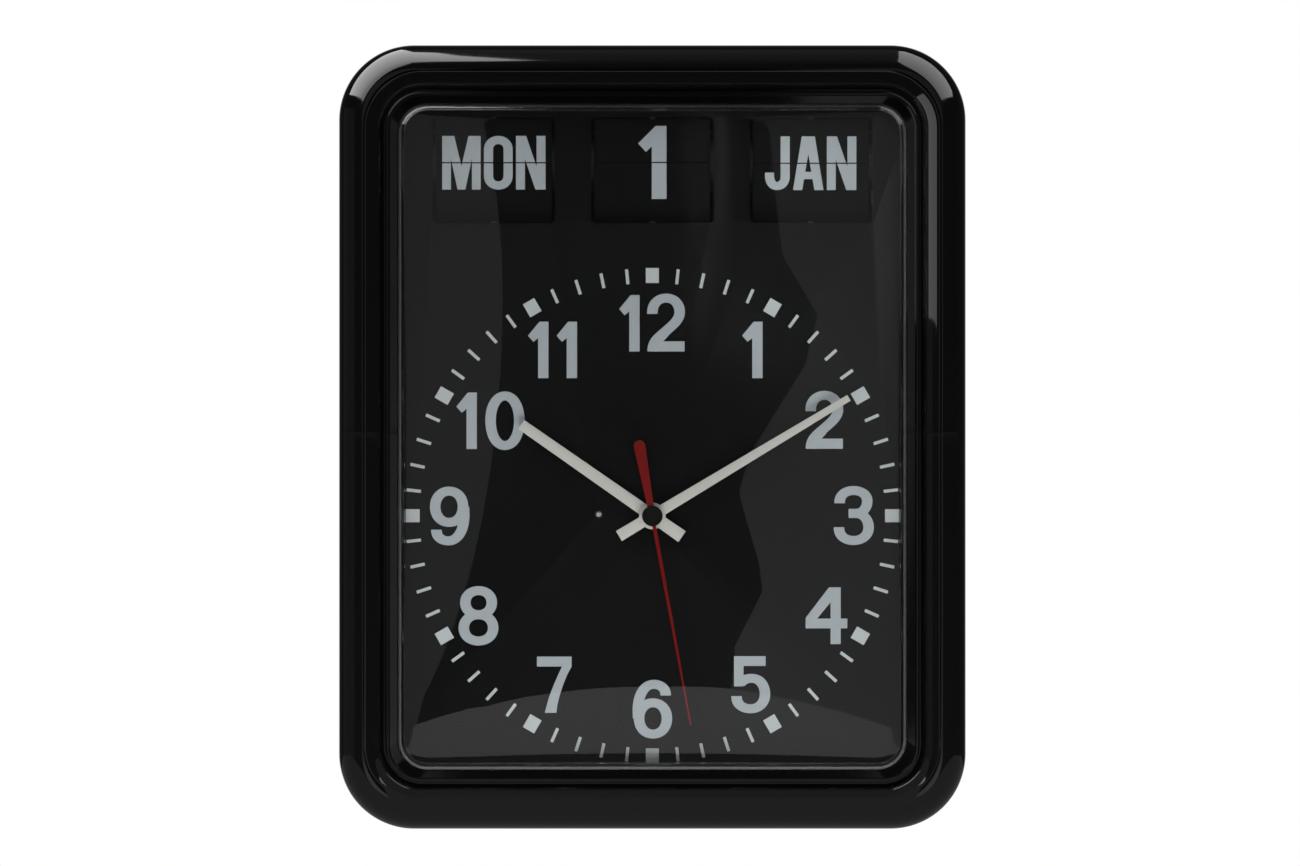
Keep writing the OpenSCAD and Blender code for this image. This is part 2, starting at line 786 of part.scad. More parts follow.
// Outline of a gear with n teeth of module m, one tooth centred on +x
module gear_outline(n, m) {
    rp = n * m / 2;
    root = rp - 1.3 * m;
    tip = rp + m;
    base = rp * cos(gear_pressure);
    foot = base > root ? base : root + (tip - root) / 3;
    radii = [root, foot, rp, tip];
    polygon([
        for (k = [0:n - 1]) let (c = 360 * k / n)
            for (side = [-1, 1], j = [0:3])
                let (r = radii[side < 0 ? j : 3 - j])
                polar(r, c + side * gear_half(r, n, m, gear_backlash))
    ]);
}

module gear(n, m, t, bore) {
    linear_extrude(t) difference() {
        gear_outline(n, m);
        circle(bore);
    }
}

// Wheel with a thin rim, spokes between round windows, and a hub
module spoked_gear(n, m, t, bore, windows) {
    rp = n * m / 2;
    mid = rp * 0.56;
    linear_extrude(t) difference() {
        gear_outline(n, m);
        circle(bore);
        for (i = [0:windows - 1])
            translate(polar(mid, 360 * (i + 0.5) / windows)) circle(rp * 0.2);
    }
}

// Turn of a wheel that puts a gap of its teeth on the line towards a mating tooth
function mesh_turn(line_dir, n_self, n_mate, mate_turn) =
    line_dir + 180 + 180 / n_self - (mate_turn - line_dir) * n_mate / n_self;

motion_pos = polar(motion_dist, motion_dir);
minute_train_pos = polar(minute_train_dist, minute_train_dir);
second_train_pos = polar(second_train_dist, second_train_dir);
minute_rotor_pos = polar(minute_train_dist + rotor_dist, minute_train_dir);
second_rotor_pos = polar(second_train_dist + rotor_dist, second_train_dir);

motion_turn = mesh_turn(motion_dir, 30, 10, 0);
hour_wheel_turn = mesh_turn(motion_dir + 180, 32, 8, motion_turn);
minute_train_turn = mesh_turn(minute_train_dir, 10, 60, 0);
second_train_turn = mesh_turn(second_train_dir, 10, 60, 0);
minute_rotor_turn = mesh_turn(minute_train_dir, 10, 50, minute_train_turn);
second_rotor_turn = mesh_turn(second_train_dir, 10, 50, second_train_turn);

module hour_wheel() {
    color("#e9e4d4") in_clock() at_axis() {
        translate([0, 0, hour_wheel_z]) rotate([0, 0, hour_wheel_turn])
            gear(32, motion_m, 1.2, minute_pipe_r + fit_gap);
        translate([0, 0, hour_wheel_z]) difference() {
            cylinder(r = hour_pipe_r, h = hour_hand_d + hand_t - hour_wheel_z);
            translate([0, 0, -1]) cylinder(r = minute_pipe_r + fit_gap, h = 30);
        }
    }
}

module minute_wheel() {
    color("#efe9d8") in_clock() at_axis() {
        translate([0, 0, minute_wheel_z])
            spoked_gear(60, motion_m, 1, second_arbor_r + fit_gap, 5);
        translate([0, 0, minute_wheel_z]) difference() {
            union() {
                cylinder(r = minute_pipe_r, h = minute_hand_d + hand_t - minute_wheel_z);
                translate([0, 0, minute_pinion_z - minute_wheel_z])
                    linear_extrude(1.6) gear_outline(10, motion_m);
            }
            translate([0, 0, -1]) cylinder(r = second_arbor_r + fit_gap, h = 30);
        }
    }
}

module motion_wheel() {
    color("#e6dfc9") in_clock() at_axis() translate(motion_pos)
        rotate([0, 0, motion_turn]) {
            translate([0, 0, motion_wheel_z]) gear(30, motion_m, 1, 0.5 + fit_gap);
            translate([0, 0, motion_wheel_z + 1 - overlap])
                gear(8, motion_m, 2.1 + overlap, 0.5 + fit_gap);
        }
}

module second_wheel() {
    color("#efe9d8") in_clock() at_axis() {
        translate([0, 0, second_wheel_z])
            spoked_gear(60, second_m, 0.8, second_arbor_r - overlap, 5);
        translate([0, 0, movement_rear_d + 0.7])
            cylinder(r = second_arbor_r, h = second_hand_d + 1.2 - movement_rear_d - 0.7);
        translate([0, 0, second_wheel_z - 0.6]) cylinder(r = 1.4, h = 1.6);
    }
}

// Intermediate wheel of one drive: a large wheel for the rotor and a pinion
module train_wheel(pos, turn, pinion_m, pinion_z, top) {
    in_clock() at_axis() translate(pos) rotate([0, 0, turn]) {
        translate([0, 0, train_wheel_z]) spoked_gear(50, rotor_m, 0.8, small_arbor_r - overlap, 4);
        translate([0, 0, pinion_z]) gear(10, pinion_m, 1.6, small_arbor_r - overlap);
        translate([0, 0, movement_rear_d + 0.7])
            cylinder(r = small_arbor_r, h = top - movement_rear_d - 0.7);
    }
}

module minute_train_wheel() {
    color("#e6dfc9") train_wheel(minute_train_pos, minute_train_turn, motion_m,
        minute_wheel_z - 0.3, movement_front_d - 0.9);
}

module second_train_wheel() {
    color("#e6dfc9") train_wheel(second_train_pos, second_train_turn, second_m,
        second_wheel_z - 0.4, middle_plate_z + 0.6);
}

// Rotor: a magnet disc and a pinion on one arbor
module rotor(pos, turn) {
    in_clock() at_axis() translate(pos) rotate([0, 0, turn]) {
        translate([0, 0, rotor_magnet_z]) cylinder(r = magnet_r, h = 2);
        translate([0, 0, train_wheel_z - 0.3]) gear(10, rotor_m, 1.4, small_arbor_r - overlap);
        translate([0, 0, movement_rear_d + 0.7])
            cylinder(r = small_arbor_r, h = middle_plate_z + 0.6 - movement_rear_d - 0.7);
    }
}

module minute_rotor() {
    color("#3a3b3e") rotor(minute_rotor_pos, minute_rotor_turn);
}

module second_rotor() {
    color("#3a3b3e") rotor(second_rotor_pos, second_rotor_turn);
}

// Movement housing
module housing_outline(inset) {
    rounded_rect(movement_w - 2 * inset, movement_w - 2 * inset, 4 - inset);
}

module movement_front_housing() {
    bush_top = dial_d + bush_rise;
    color("#1b1c1e") in_clock() at_axis() difference() {
        union() {
            translate([0, 0, movement_front_d - front_plate_t])
                linear_extrude(front_plate_t) housing_outline(0);
            translate([0, 0, movement_split_d]) linear_extrude(9 - front_plate_t + overlap)
                difference() {
                    housing_outline(0);
                    housing_outline(housing_wall);
                }
            translate([0, 0, movement_front_d - overlap])
                cylinder(r = bush_r, h = bush_top - movement_front_d + overlap);
            translate([motion_pos[0], motion_pos[1], motion_wheel_z - 0.3])
                cylinder(r = 0.5, h = 5);
        }
        translate([0, 0, movement_front_d - 3])
            cylinder(r = hour_pipe_r + fit_gap, h = 12);
        translate([led_x, led_y, movement_front_d - 3]) cylinder(r = 1.5 + fit_gap, h = 5);
        translate([minute_train_pos[0], minute_train_pos[1], movement_front_d - 3])
            cylinder(r = small_arbor_r + fit_gap, h = 2.4);
    }
}

module movement_rear_housing() {
    color("#1b1c1e") in_clock() at_axis() difference() {
        union() {
            translate([0, 0, movement_rear_d]) linear_extrude(housing_wall)
                housing_outline(0);
            translate([0, 0, movement_rear_d]) linear_extrude(movement_split_d
                - movement_rear_d - 0.1) difference() {
                housing_outline(0);
                housing_outline(housing_wall);
            }
            // Posts for the middle plate, the board and the stators
            for (p = plate_posts) translate([p[0], p[1], movement_rear_d + 1])
                cylinder(r = 1.8, h = middle_plate_z - movement_rear_d - 1 - 0.05);
            for (m = [[minute_rotor_pos, minute_stator_dir], [second_rotor_pos, second_stator_dir]],
                q = [[-3.7, -3.7], [12.8, 2.5]])
                translate(m[0]) rotate([0, 0, m[1]]) translate([q[0], q[1], movement_rear_d + 1])
                    cylinder(r = 0.9, h = stator_z - movement_rear_d - 1 - 0.05);
        }
        for (p = arbor_places) translate([p[0], p[1], movement_rear_d + 0.6])
            cylinder(r = p[2] + fit_gap, h = 2);
    }
}

post_x = movement_w / 2 - 4;
plate_posts = [for (sx = [-1, 1], sy = [-1, 0, 1]) [sx * post_x, sy * post_x]];
arbor_places = [
    [0, 0, second_arbor_r],
    [minute_train_pos[0], minute_train_pos[1], small_arbor_r],
    [second_train_pos[0], second_train_pos[1], small_arbor_r],
    [minute_rotor_pos[0], minute_rotor_pos[1], small_arbor_r],
    [second_rotor_pos[0], second_rotor_pos[1], small_arbor_r]
];

module movement_middle_plate() {
    color("#c8c2ae") in_clock() at_axis(middle_plate_z) linear_extrude(0.8) difference() {
        rounded_rect(movement_w - 2 * housing_wall - 0.4, movement_w - 2 * housing_wall - 0.4, 2);
        for (p = arbor_places) translate([p[0], p[1]]) circle(p[2] + fit_gap);
        translate([14, 18]) circle(7);
        translate([-20, -14]) circle(6);
    }
}

module movement_board() {
    color("#2c5a38") in_clock() at_axis() translate([-17.5, -24, 0]) {
        translate([-11, -8, middle_plate_z - 1.2]) cube([22, 15, 1.1]);
        translate([-3, -4, middle_plate_z - 2.8]) cylinder(r = 3.2, h = 1.7);
        translate([3.5, -6, middle_plate_z - 4]) cube([3, 8, 2.9]);
    }
}

// Stators: punched plates with a hole for the rotor and a bar that carries the coil
stator_end = 14;
stator_half = 4.8;
coil_x0 = 5.2;
coil_l = 6.4;
coil_bar = 2.8;
coil_r = 2.1;
stator_t = 1.4;
stator_z = rotor_magnet_z + 0.3;
minute_stator_dir = 0;
second_stator_dir = 180;

module stator_frame(pos, dir) {
    at_axis() translate(pos) rotate([0, 0, dir]) children();
}

module stator() {
    translate([0, 0, stator_z]) linear_extrude(stator_t) difference() {
        translate([-stator_half, -stator_half])
            square([stator_half + stator_end, 2 * stator_half]);
        circle(magnet_r + 0.4);
        translate([coil_x0, coil_bar - stator_half]) square([coil_l, 2 * stator_half]);
    }
}

module motor_stators() {
    color("#7c7f84") in_clock() {
        stator_frame(minute_rotor_pos, minute_stator_dir) stator();
        stator_frame(second_rotor_pos, second_stator_dir) stator();
    }
}

// Coil wound round the stator's bar
module coil() {
    gap = 0.15;
    bar_y = coil_bar / 2 - stator_half;
    difference() {
        translate([coil_x0 + gap, bar_y, stator_z + stator_t / 2]) rotate([0, 90, 0])
            cylinder(r = coil_r, h = coil_l - 2 * gap);
        translate([coil_x0 - 1, -stator_half - gap, stator_z - gap])
            cube([coil_l + 2, coil_bar + 2 * gap, stator_t + 2 * gap]);
    }
}

module motor_coils() {
    color("#b4662e") in_clock() {
        stator_frame(minute_rotor_pos, minute_stator_dir) coil();
        stator_frame(second_rotor_pos, second_stator_dir) coil();
    }
}

// Signal lamp beside the hands
led_x = -27.6;
led_y = 0.7;

module indicator_led() {
    tip_r = 1.5;
    color("#dcdde0") in_clock() at_axis() translate([led_x, led_y, 0]) {
        translate([0, 0, movement_front_d - front_plate_t - 1]) cylinder(r = 2, h = 1);
        translate([0, 0, movement_front_d - front_plate_t - overlap])
            cylinder(r = tip_r, h = dial_d - 1 - movement_front_d + front_plate_t + overlap);
        translate([0, 0, dial_d - 1]) sphere(r = tip_r);
    }
}

module mounting_washer() {
    color("#b9bcbf") in_clock() at_axis(dial_d) difference() {
        cylinder(r = bush_r + 2, h = washer_t);
        translate([0, 0, -1]) cylinder(r = bush_r + slide_gap, h = 3);
    }
}

module mounting_nut() {
    color("#c2a04a") in_clock() at_axis(dial_d + washer_t) difference() {
        cylinder(r = bush_r + 2.2, h = nut_t, $fn = 6);
        translate([0, 0, -1]) cylinder(r = bush_r + fit_gap, h = 5);
    }
}

// Hands

// Flat hand along +y: widths at its tip, its axis and its tail
module bar_hand(l, tail, w_tip, w_mid, w_tail, bore) {
    linear_extrude(hand_t) difference() {
        union() {
            polygon([[-w_tip / 2, l], [-w_mid / 2, 0], [-w_tail / 2, -tail],
                [w_tail / 2, -tail], [w_mid / 2, 0], [w_tip / 2, l]]);
            circle(hand_hub_r);
        }
        circle(bore);
    }
}

module hour_hand() {
    color("#e8e8e4") in_clock() at_axis(hour_hand_d) rotate([0, 0, -hour_angle])
        bar_hand(hour_hand_l, 18.6, 5.5, 6.3, 6.7, hour_pipe_r + press_gap);
}

module minute_hand() {
    color("#e8e8e4") in_clock() at_axis(minute_hand_d) rotate([0, 0, -minute_angle])
        bar_hand(minute_hand_l, 20, 3.4, 5.6, 6, minute_pipe_r + press_gap);
}

module second_hand() {
    tail = 36.4;
    bulb_r = 3;
    color("#961414") in_clock() at_axis(second_hand_d) rotate([0, 0, -second_angle])
        linear_extrude(0.5) difference() {
            union() {
                polygon([[-0.4, second_hand_l], [-1, 0], [1, 0], [0.4, second_hand_l]]);
                polygon([[-1.4, 0], [-bulb_r, -tail], [bulb_r, -tail], [1.4, 0]]);
                translate([0, -tail]) circle(bulb_r);
                circle(4);
            }
            circle(second_arbor_r + press_gap);
        }
}

module second_hand_cap() {
    color("#1c1c1e") in_clock() at_axis(second_hand_d + 0.5) difference() {
        union() {
            cylinder(r = cap_r, h = 0.7);
            translate([0, 0, 0.7 - overlap]) cylinder(r1 = cap_r, r2 = cap_r - 0.5, h = 0.5);
        }
        translate([0, 0, -1]) cylinder(r = second_arbor_r + press_gap, h = 1.75);
    }
}

// Antenna behind the dial
antenna_r = 4;
antenna_l = 64;
antenna_y = axis_y - movement_w / 2 - 22;
antenna_d = dial_back_d - 9;
antenna_clip_xs = [-24, 24];

// Clip on the back of the dial, with a cradle that holds the ferrite rod
module antenna_clip() {
    translate([-2, -6, antenna_d - 1.5]) difference() {
        cube([4, 12, dial_back_d - antenna_d + 1.5 + overlap]);
        translate([-1, 6, 1.5]) rotate([0, 90, 0]) cylinder(r = antenna_r + slide_gap, h = 6);
        translate([-1, 6 - antenna_r + 0.3, -1]) cube([6, 2 * antenna_r - 0.6, 2.5]);
    }
}

module antenna_core() {
    color("#3b3b3d") in_clock() translate([-antenna_l / 2, antenna_y, antenna_d])
        rotate([0, 90, 0]) cylinder(r = antenna_r, h = antenna_l);
}

module antenna_coil() {
    color("#b4662e") in_clock() translate([-15, antenna_y, antenna_d])
        rotate([0, 90, 0]) difference() {
            cylinder(r = antenna_r + 1.1, h = 30);
            translate([0, 0, -1]) cylinder(r = antenna_r + fit_gap, h = 32);
        }
}

// Calendar

// A leaf lies in the plane of its drawing, its ears on y = 0 and its text side up
function leaf_foot(count) = ear_circle_r * sin(360 / count) / 2 - leaf_gap / 2;

module leaf(count) {
    foot = leaf_foot(count);
    translate([0, 0, -leaf_t / 2]) linear_extrude(leaf_t) {
        translate([-leaf_w / 2, -foot]) square([leaf_w, leaf_h]);
        translate([-leaf_w / 2 - ear_l, -ear_w / 2]) square([leaf_w + 2 * ear_l, ear_w]);
    }
}

// How far leaf number a (in degrees round the drum) has swung from upright
function leaf_swing(a) = a < fan_turn ? 180 * pow(a / fan_turn, fan_power) : 180;

// Depth of the tip of leaf number i, counted from the front over the top
function leaf_tip_d(count, i) = drum_d + ear_circle_r * cos(i * 360 / count)
    - (leaf_h - leaf_foot(count)) * sin(leaf_swing(i * 360 / count));

// Height of the drums' common axis: the date's split line lies half way between two ears
drums_y = split_y + ear_circle_r * sin(360 / date_leaf_count) / 2;

// Places a leaf on the drum at angle a, counted from the front over the top
module leaf_at(count, a) {
    translate([0, drums_y + ear_circle_r * sin(a), drum_d + ear_circle_r * cos(a)])
        rotate([-leaf_swing(a), 0, 0]) leaf(count);
}

module leaf_pack(x, count) {
    in_clock() translate([x, 0, 0])
        for (i = [1:count - 1]) leaf_at(count, i * 360 / count);
}

module falling_leaf(x, count) {
    in_clock() translate([x, 0, 0]) leaf_at(count, 0);
}

// Drum: two flanges with a groove for the ears, a hub and a gear on the right flange
module flange(count, holes) {
    difference() {
        union() {
            cylinder(r = flange_r, h = flange_t);
            cylinder(r = hub_r + 1.5, h = flange_t + 0.6);
        }
        rotate_extrude() translate([ear_circle_r - ear_groove_w / 2, -1])
            square([ear_groove_w, 1 + ear_groove_deep]);
        translate([0, 0, -1]) cylinder(r = shaft_r + fit_gap, h = 5);
        for (i = [0:4]) rotate([0, 0, 72 * i]) translate([8.6, 0, -1])
            cylinder(r = 2.4, h = 5);
        if (holes)
            for (i = [0:count - 1]) rotate([0, 0, 360 * i / count])
                translate([ear_circle_r, 0, -1]) cylinder(r = 0.35, h = 5, $fn = 16);
    }
}

module drum(x, count) {
    in_clock() translate([x, drums_y, drum_d]) rotate([0, 90, 0]) {
        translate([0, 0, flange_x]) flange(count, false);
        translate([0, 0, flange_x + flange_t - overlap]) difference() {
            gear(drum_teeth, drum_gear_m, drum_gear_t + overlap, shaft_r + fit_gap);
            for (i = [0:4]) rotate([0, 0, 72 * i]) translate([8.6, 0, -1])
                cylinder(r = 2.4, h = 5);
        }
        mirror([0, 0, 1]) translate([0, 0, flange_x]) flange(count, true);
        translate([0, 0, -flange_x - overlap]) difference() {
            cylinder(r = hub_r, h = 2 * flange_x + 2 * overlap);
            translate([0, 0, -1]) cylinder(r = shaft_r + fit_gap, h = 2 * flange_x + 3);
        }
    }
}

pinion_turn = 180 / pinion_teeth;

// Pinion on the motor's shaft, straight below the drum
module drum_pinion(x, count) {
    pinion_x = flange_x + flange_t + 0.2;
    in_clock() translate([x, drums_y - drum_pinion_dist, drum_d]) rotate([0, 90, 0]) {
        translate([0, 0, pinion_x]) rotate([0, 0, pinion_turn])
            gear(pinion_teeth, drum_gear_m, 2, 0.75 - overlap);
        translate([0, 0, pinion_x])
            cylinder(r = 0.75, h = side_plate_x + side_plate_t + motor_t - 1 - pinion_x);
    }
}

module calendar_shaft() {
    end_x = window_pitch + side_plate_x + side_plate_t + 1;
    color("#a9acb0") in_clock() translate([-end_x, drums_y, drum_d])
        rotate([0, 90, 0]) cylinder(r = shaft_r, h = 2 * end_x);
}

module calendar_motor() {
    difference() {
        union() {
            cylinder(r = motor_r, h = motor_t);
            translate([0, 0, -motor_bush_l]) cylinder(r = motor_bush_r, h = motor_bush_l + 1);
            linear_extrude(0.8) difference() {
                square([2 * motor_r + 7, 5], center = true);
                for (s = [-1, 1]) translate([s * (motor_r + 1.9), 0]) circle(1.1);
            }
        }
        translate([0, 0, -3]) cylinder(r = 0.75 + fit_gap, h = motor_t + 2.2);
    }
    // Connector with its pins
    translate([-4, -motor_r - 2, 2]) cube([8, 4, 4]);
}

module calendar_motors() {
    color("#a9acb0") in_clock()
        for (i = [0:2])
            translate([window_xs[i] + side_plate_x + side_plate_t,
                drums_y - drum_pinion_dist, drum_d])
                rotate([0, 90, 0]) rotate([0, 0, 90]) calendar_motor();
}

// Frame: side plates between the drums, a bar above and a bar below the leaves
fan_top = max([for (a = [0:2:180]) ear_circle_r * sin(a) + leaf_h * cos(leaf_swing(a))]);
fan_bottom = ear_circle_r + leaf_h;
fan_gap = 1;
frame_top_y = drums_y + fan_top + fan_gap + bar_t;
frame_bottom_y = drums_y - fan_bottom - fan_gap - bar_t;
foot_x = window_pitch / 2;
calendar_feet = [
    for (sx = [-1, 1], y = [frame_top_y + 5, frame_bottom_y - 5]) [sx * foot_x, y]
];

module side_plate() {
    y0 = frame_bottom_y;
    y1 = frame_top_y;
    // Drawn with x as the distance from the wall
    difference() {
        union() {
            translate([(frame_rear_d + frame_front_d) / 2, (y0 + y1) / 2])
                rounded_rect(frame_front_d - frame_rear_d, y1 - y0, 6);
            polygon([[frame_front_d - 8, y0], [frame_front_d, y0],
                [frame_front_d, y1], [frame_front_d - 8, y1]]);
        }
        translate([drum_d, drums_y]) circle(shaft_r + fit_gap);
        for (s = [-1, 1]) translate([drum_d + s * 9 - 1, drums_y + 20]) circle(4);
        translate([drum_d - 12, drums_y - 6]) circle(4.5);
    }
}

// Bars in the side plates' own drawing, so that their edges agree
module frame_bars() {
    for (y = [[frame_top_y - bar_t, frame_top_y], [frame_bottom_y, frame_bottom_y + bar_t]])
        polygon([[frame_front_d - 18, y[0]], [frame_front_d, y[0]],
            [frame_front_d, y[1]], [frame_front_d - 18, y[1]]]);
}

module calendar_frame() {
    bar_x = window_pitch + side_plate_x + side_plate_t;
    color("#1e1f21") in_clock() {
        difference() {
            union() {
                for (i = [0:2], x = [left_plate_x - side_plate_t, side_plate_x])
                    translate([window_xs[i] + x, 0, 0]) rotate([90, 0, 90])
                        linear_extrude(side_plate_t) rotate([0, 0, 90]) mirror([0, 1]) side_plate();
                translate([-bar_x, 0, 0]) rotate([90, 0, 90])
                    linear_extrude(2 * bar_x) rotate([0, 0, 90]) mirror([0, 1]) frame_bars();
                for (p = calendar_feet) translate([p[0] - 5, p[1] - 5 - 1, frame_front_d - 2])
                    cube([10, 12, 2]);
            }
            for (p = calendar_feet)
                translate([p[0], p[1], frame_front_d - 3]) cylinder(r = 1.4, h = 4);
            for (i = [0:2]) translate([window_xs[i] + side_plate_x - 1,
                drums_y - drum_pinion_dist, drum_d]) rotate([0, 90, 0])
                cylinder(r = motor_bush_r + fit_gap, h = side_plate_t + 2);
        }
    }
}

module calendar_screws() {
    color("#8d8f92") in_clock()
        for (p = calendar_feet)
            translate([p[0], p[1], frame_front_d - 2]) pan_screw(1.2, 4.6, 2.4, 1.6);
}

// Spring fingers above and below the front leaves
module leaf_stop_springs() {
    finger_w = 3;
    finger_t = 0.3;
    tip_y = split_y + leaf_gap / 2 + leaf_h + 0.2;
    low_tip_y = window_y - window_h / 2 + 1;
    finger_d = frame_front_d;
    color("#b9bcbf") in_clock()
        for (x = window_xs) {
            translate([x - finger_w / 2, tip_y, finger_d])
                cube([finger_w, frame_top_y - 0.5 - tip_y, finger_t]);
            translate([x - finger_w / 2, frame_bottom_y + 0.5, finger_d])
                cube([finger_w, low_tip_y - frame_bottom_y - 0.5, finger_t]);
        }
}

module day_leaves() {
    color("#151516") leaf_pack(window_xs[0], day_leaf_count);
}

module date_leaves() {
    color("#151516") leaf_pack(window_xs[1], date_leaf_count);
}

module month_leaves() {
    color("#151516") leaf_pack(window_xs[2], month_leaf_count);
}

module day_falling_leaf() {
    color("#1a1a1b") falling_leaf(window_xs[0], day_leaf_count);
}

module date_falling_leaf() {
    color("#1a1a1b") falling_leaf(window_xs[1], date_leaf_count);
}

module month_falling_leaf() {
    color("#1a1a1b") falling_leaf(window_xs[2], month_leaf_count);
}

module day_drum() {
    color("#d9d4c6") drum(window_xs[0], day_leaf_count);
}

module date_drum() {
    color("#d9d4c6") drum(window_xs[1], date_leaf_count);
}

module month_drum() {
    color("#d9d4c6") drum(window_xs[2], month_leaf_count);
}

module day_pinion() {
    color("#e9e4d4") drum_pinion(window_xs[0], day_leaf_count);
}

module date_pinion() {
    color("#e9e4d4") drum_pinion(window_xs[1], date_leaf_count);
}

module month_pinion() {
    color("#e9e4d4") drum_pinion(window_xs[2], month_leaf_count);
}

front_case();
window_lens();
dial_plate();
dial_screws();
rear_cover();
case_screws();
hanger_plate();
hanger_screws();
hour_hand();
minute_hand();
second_hand();
second_hand_cap();
hour_wheel();
minute_wheel();
second_wheel();
motion_wheel();
minute_train_wheel();
second_train_wheel();
minute_rotor();
second_rotor();
movement_front_housing();
movement_rear_housing();
movement_middle_plate();
movement_board();
motor_stators();
motor_coils();
indicator_led();
mounting_washer();
mounting_nut();
antenna_core();
antenna_coil();
calendar_frame();
calendar_screws();
calendar_shaft();
calendar_motors();
leaf_stop_springs();
day_leaves();
day_falling_leaf();
day_drum();
day_pinion();
date_leaves();
date_falling_leaf();
date_drum();
date_pinion();
month_leaves();
month_falling_leaf();
month_drum();
month_pinion();
main_board();
board_screws();
tact_switches();
day_set_button();
date_set_button();
month_set_button();
receive_button();
time_set_button();
reset_button();
battery_cells();
battery_contacts();
battery_door();
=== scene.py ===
"""Looks of the wall clock with a split-flap calendar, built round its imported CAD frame.

The frame's axes: X to the right, Z up, the dial faces -Y, and the wall is the plane y = 0.
Sizes below are in millimetres in the clock's own terms: across, height and depth, where
depth is the distance from the wall. place() turns them into the frame's metres.
"""

import json
import math

import bmesh
import bpy
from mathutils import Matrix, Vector
from mathutils.geometry import delaunay_2d_cdt


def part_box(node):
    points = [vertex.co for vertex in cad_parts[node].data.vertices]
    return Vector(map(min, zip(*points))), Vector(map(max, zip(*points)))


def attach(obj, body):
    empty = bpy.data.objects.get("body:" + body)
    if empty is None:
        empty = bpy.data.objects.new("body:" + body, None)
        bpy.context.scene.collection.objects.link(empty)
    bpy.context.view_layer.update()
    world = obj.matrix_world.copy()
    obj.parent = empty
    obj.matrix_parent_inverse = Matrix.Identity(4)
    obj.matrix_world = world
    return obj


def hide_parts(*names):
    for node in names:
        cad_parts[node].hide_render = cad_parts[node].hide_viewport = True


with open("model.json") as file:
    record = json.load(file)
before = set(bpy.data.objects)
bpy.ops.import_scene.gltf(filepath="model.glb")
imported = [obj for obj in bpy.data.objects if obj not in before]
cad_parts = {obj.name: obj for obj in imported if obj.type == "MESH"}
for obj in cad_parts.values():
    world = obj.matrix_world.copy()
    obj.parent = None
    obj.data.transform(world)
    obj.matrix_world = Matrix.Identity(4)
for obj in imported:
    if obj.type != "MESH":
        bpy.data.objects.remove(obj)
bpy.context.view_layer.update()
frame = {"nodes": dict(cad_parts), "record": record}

MM = 0.001


def place(across, height, depth):
    """A point of the clock in the frame's metres."""
    return Vector((across * MM, -depth * MM, height * MM))


def node_span(node):
    """A CAD node's box as (left, right, bottom, top, nearest the wall, furthest from it)."""
    low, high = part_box(node)
    return (low.x / MM, high.x / MM, low.z / MM, high.z / MM, -high.y / MM, -low.y / MM)


# Sizes of the CAD frame

case_left, case_right, case_bottom, case_top, PARTING_D, CASE_D = node_span("front_case")
CASE_W = case_right - case_left
CASE_H = case_top - case_bottom
CASE_MID = (case_top + case_bottom) / 2

lens_left, lens_right, lens_bottom, lens_top, LENS_BACK_D, LENS_D = node_span("window_lens")
LENS_FLANGE_INSET = (CASE_W - (lens_right - lens_left)) / 2

washer = node_span("mounting_washer")
DIAL_D = washer[4]
AXIS_Z = (washer[2] + washer[3]) / 2

leaf_spans = {name: node_span(f"{name}_falling_leaf") for name in ("day", "date", "month")}
LEAF_T = leaf_spans["date"][5] - leaf_spans["date"][4]

# Sizes that the frame's boxes don't give
CORNER_CENTRE = 38.4  # inset of the outer corner's centre
INNER_CORNER_CENTRE = 42.8  # the same for the bezel's inner round, groove and ring
LENS_CORNER_CENTRE = 45.6  # the same for the lens and its opening
WALL = 3.0
SHOULDER_R = 13.0
BEZEL_W = 22.8
GROOVE_W = 1.2
GROOVE_DROP = 1.4  # the groove's floor lies this much behind the ledge
RING_W = 2.0
RING_RISE = 1.0  # and the ring's top this much before it
LEDGE_D = LENS_D - 5.0
LEDGE_T = 2.6
OPENING_INSET = 30.3
LENS_INSET = 30.6
LENS_WALL = 2.5
LENS_EDGE_R = 3.0
LENS_CROWN = 1.5  # the lens face stands this much prouder in its middle
LENS_EDGE_PAINTED_GLOW = 0.12  # share of the painted pale glow mixed into the lens's rounded edge
LENS_INNER_R = 1.5
FLANGE_T = 2.4
# Bosses behind the bezel, for the screws of the dial plate and of the rear cover
BOSS_TOP_D = CASE_D - WALL - 1.5
BOSS_BORE_R = 1.5
DIAL_BOSS_R, DIAL_BOSS_BORE, DIAL_BOSS_INSET = 3.5, 13.0, 16.5
DIAL_BOSS_END, DIAL_BOSS_SIDE = 70.0, 80.0  # from the case's side, and from its middle
DIAL_BOSS_GAP = 0.1
COVER_BOSS_R, COVER_BOSS_BORE, COVER_BOSS_INSET = 4.0, 16.0, 17.0
COVER_BOSS_END, COVER_BOSS_D = 44.0, 30.1
# Drums and their leaves
EAR_CIRCLE_R = 14.0
DRUM_D = 42.0
DRUM_Z = -29.291
LEAVES = {"day": 28, "date": 31, "month": 24}
WINDOW_PITCH = 81.6
SPLIT_GAP = 0.3  # between the two shown leaves
FAN_TURN, FAN_EASE = 200, 1.6  # a leaf lies back fully after this turn, slowly at first
PRINT_T, LEAF_PRINT_T = 0.03, 0.02  # thickness of printed ink
# Minute track
TRACK_INNER_R, TRACK_OUTER_R = 119.6, 127.3
HOUR_MARK_W, MINUTE_MARK_W = 6.7, 1.6


# Materials


def new_material(name):
    material = bpy.data.materials.new(name)
    material.use_nodes = True
    tree = material.node_tree
    return material, tree, tree.nodes["Principled BSDF"]


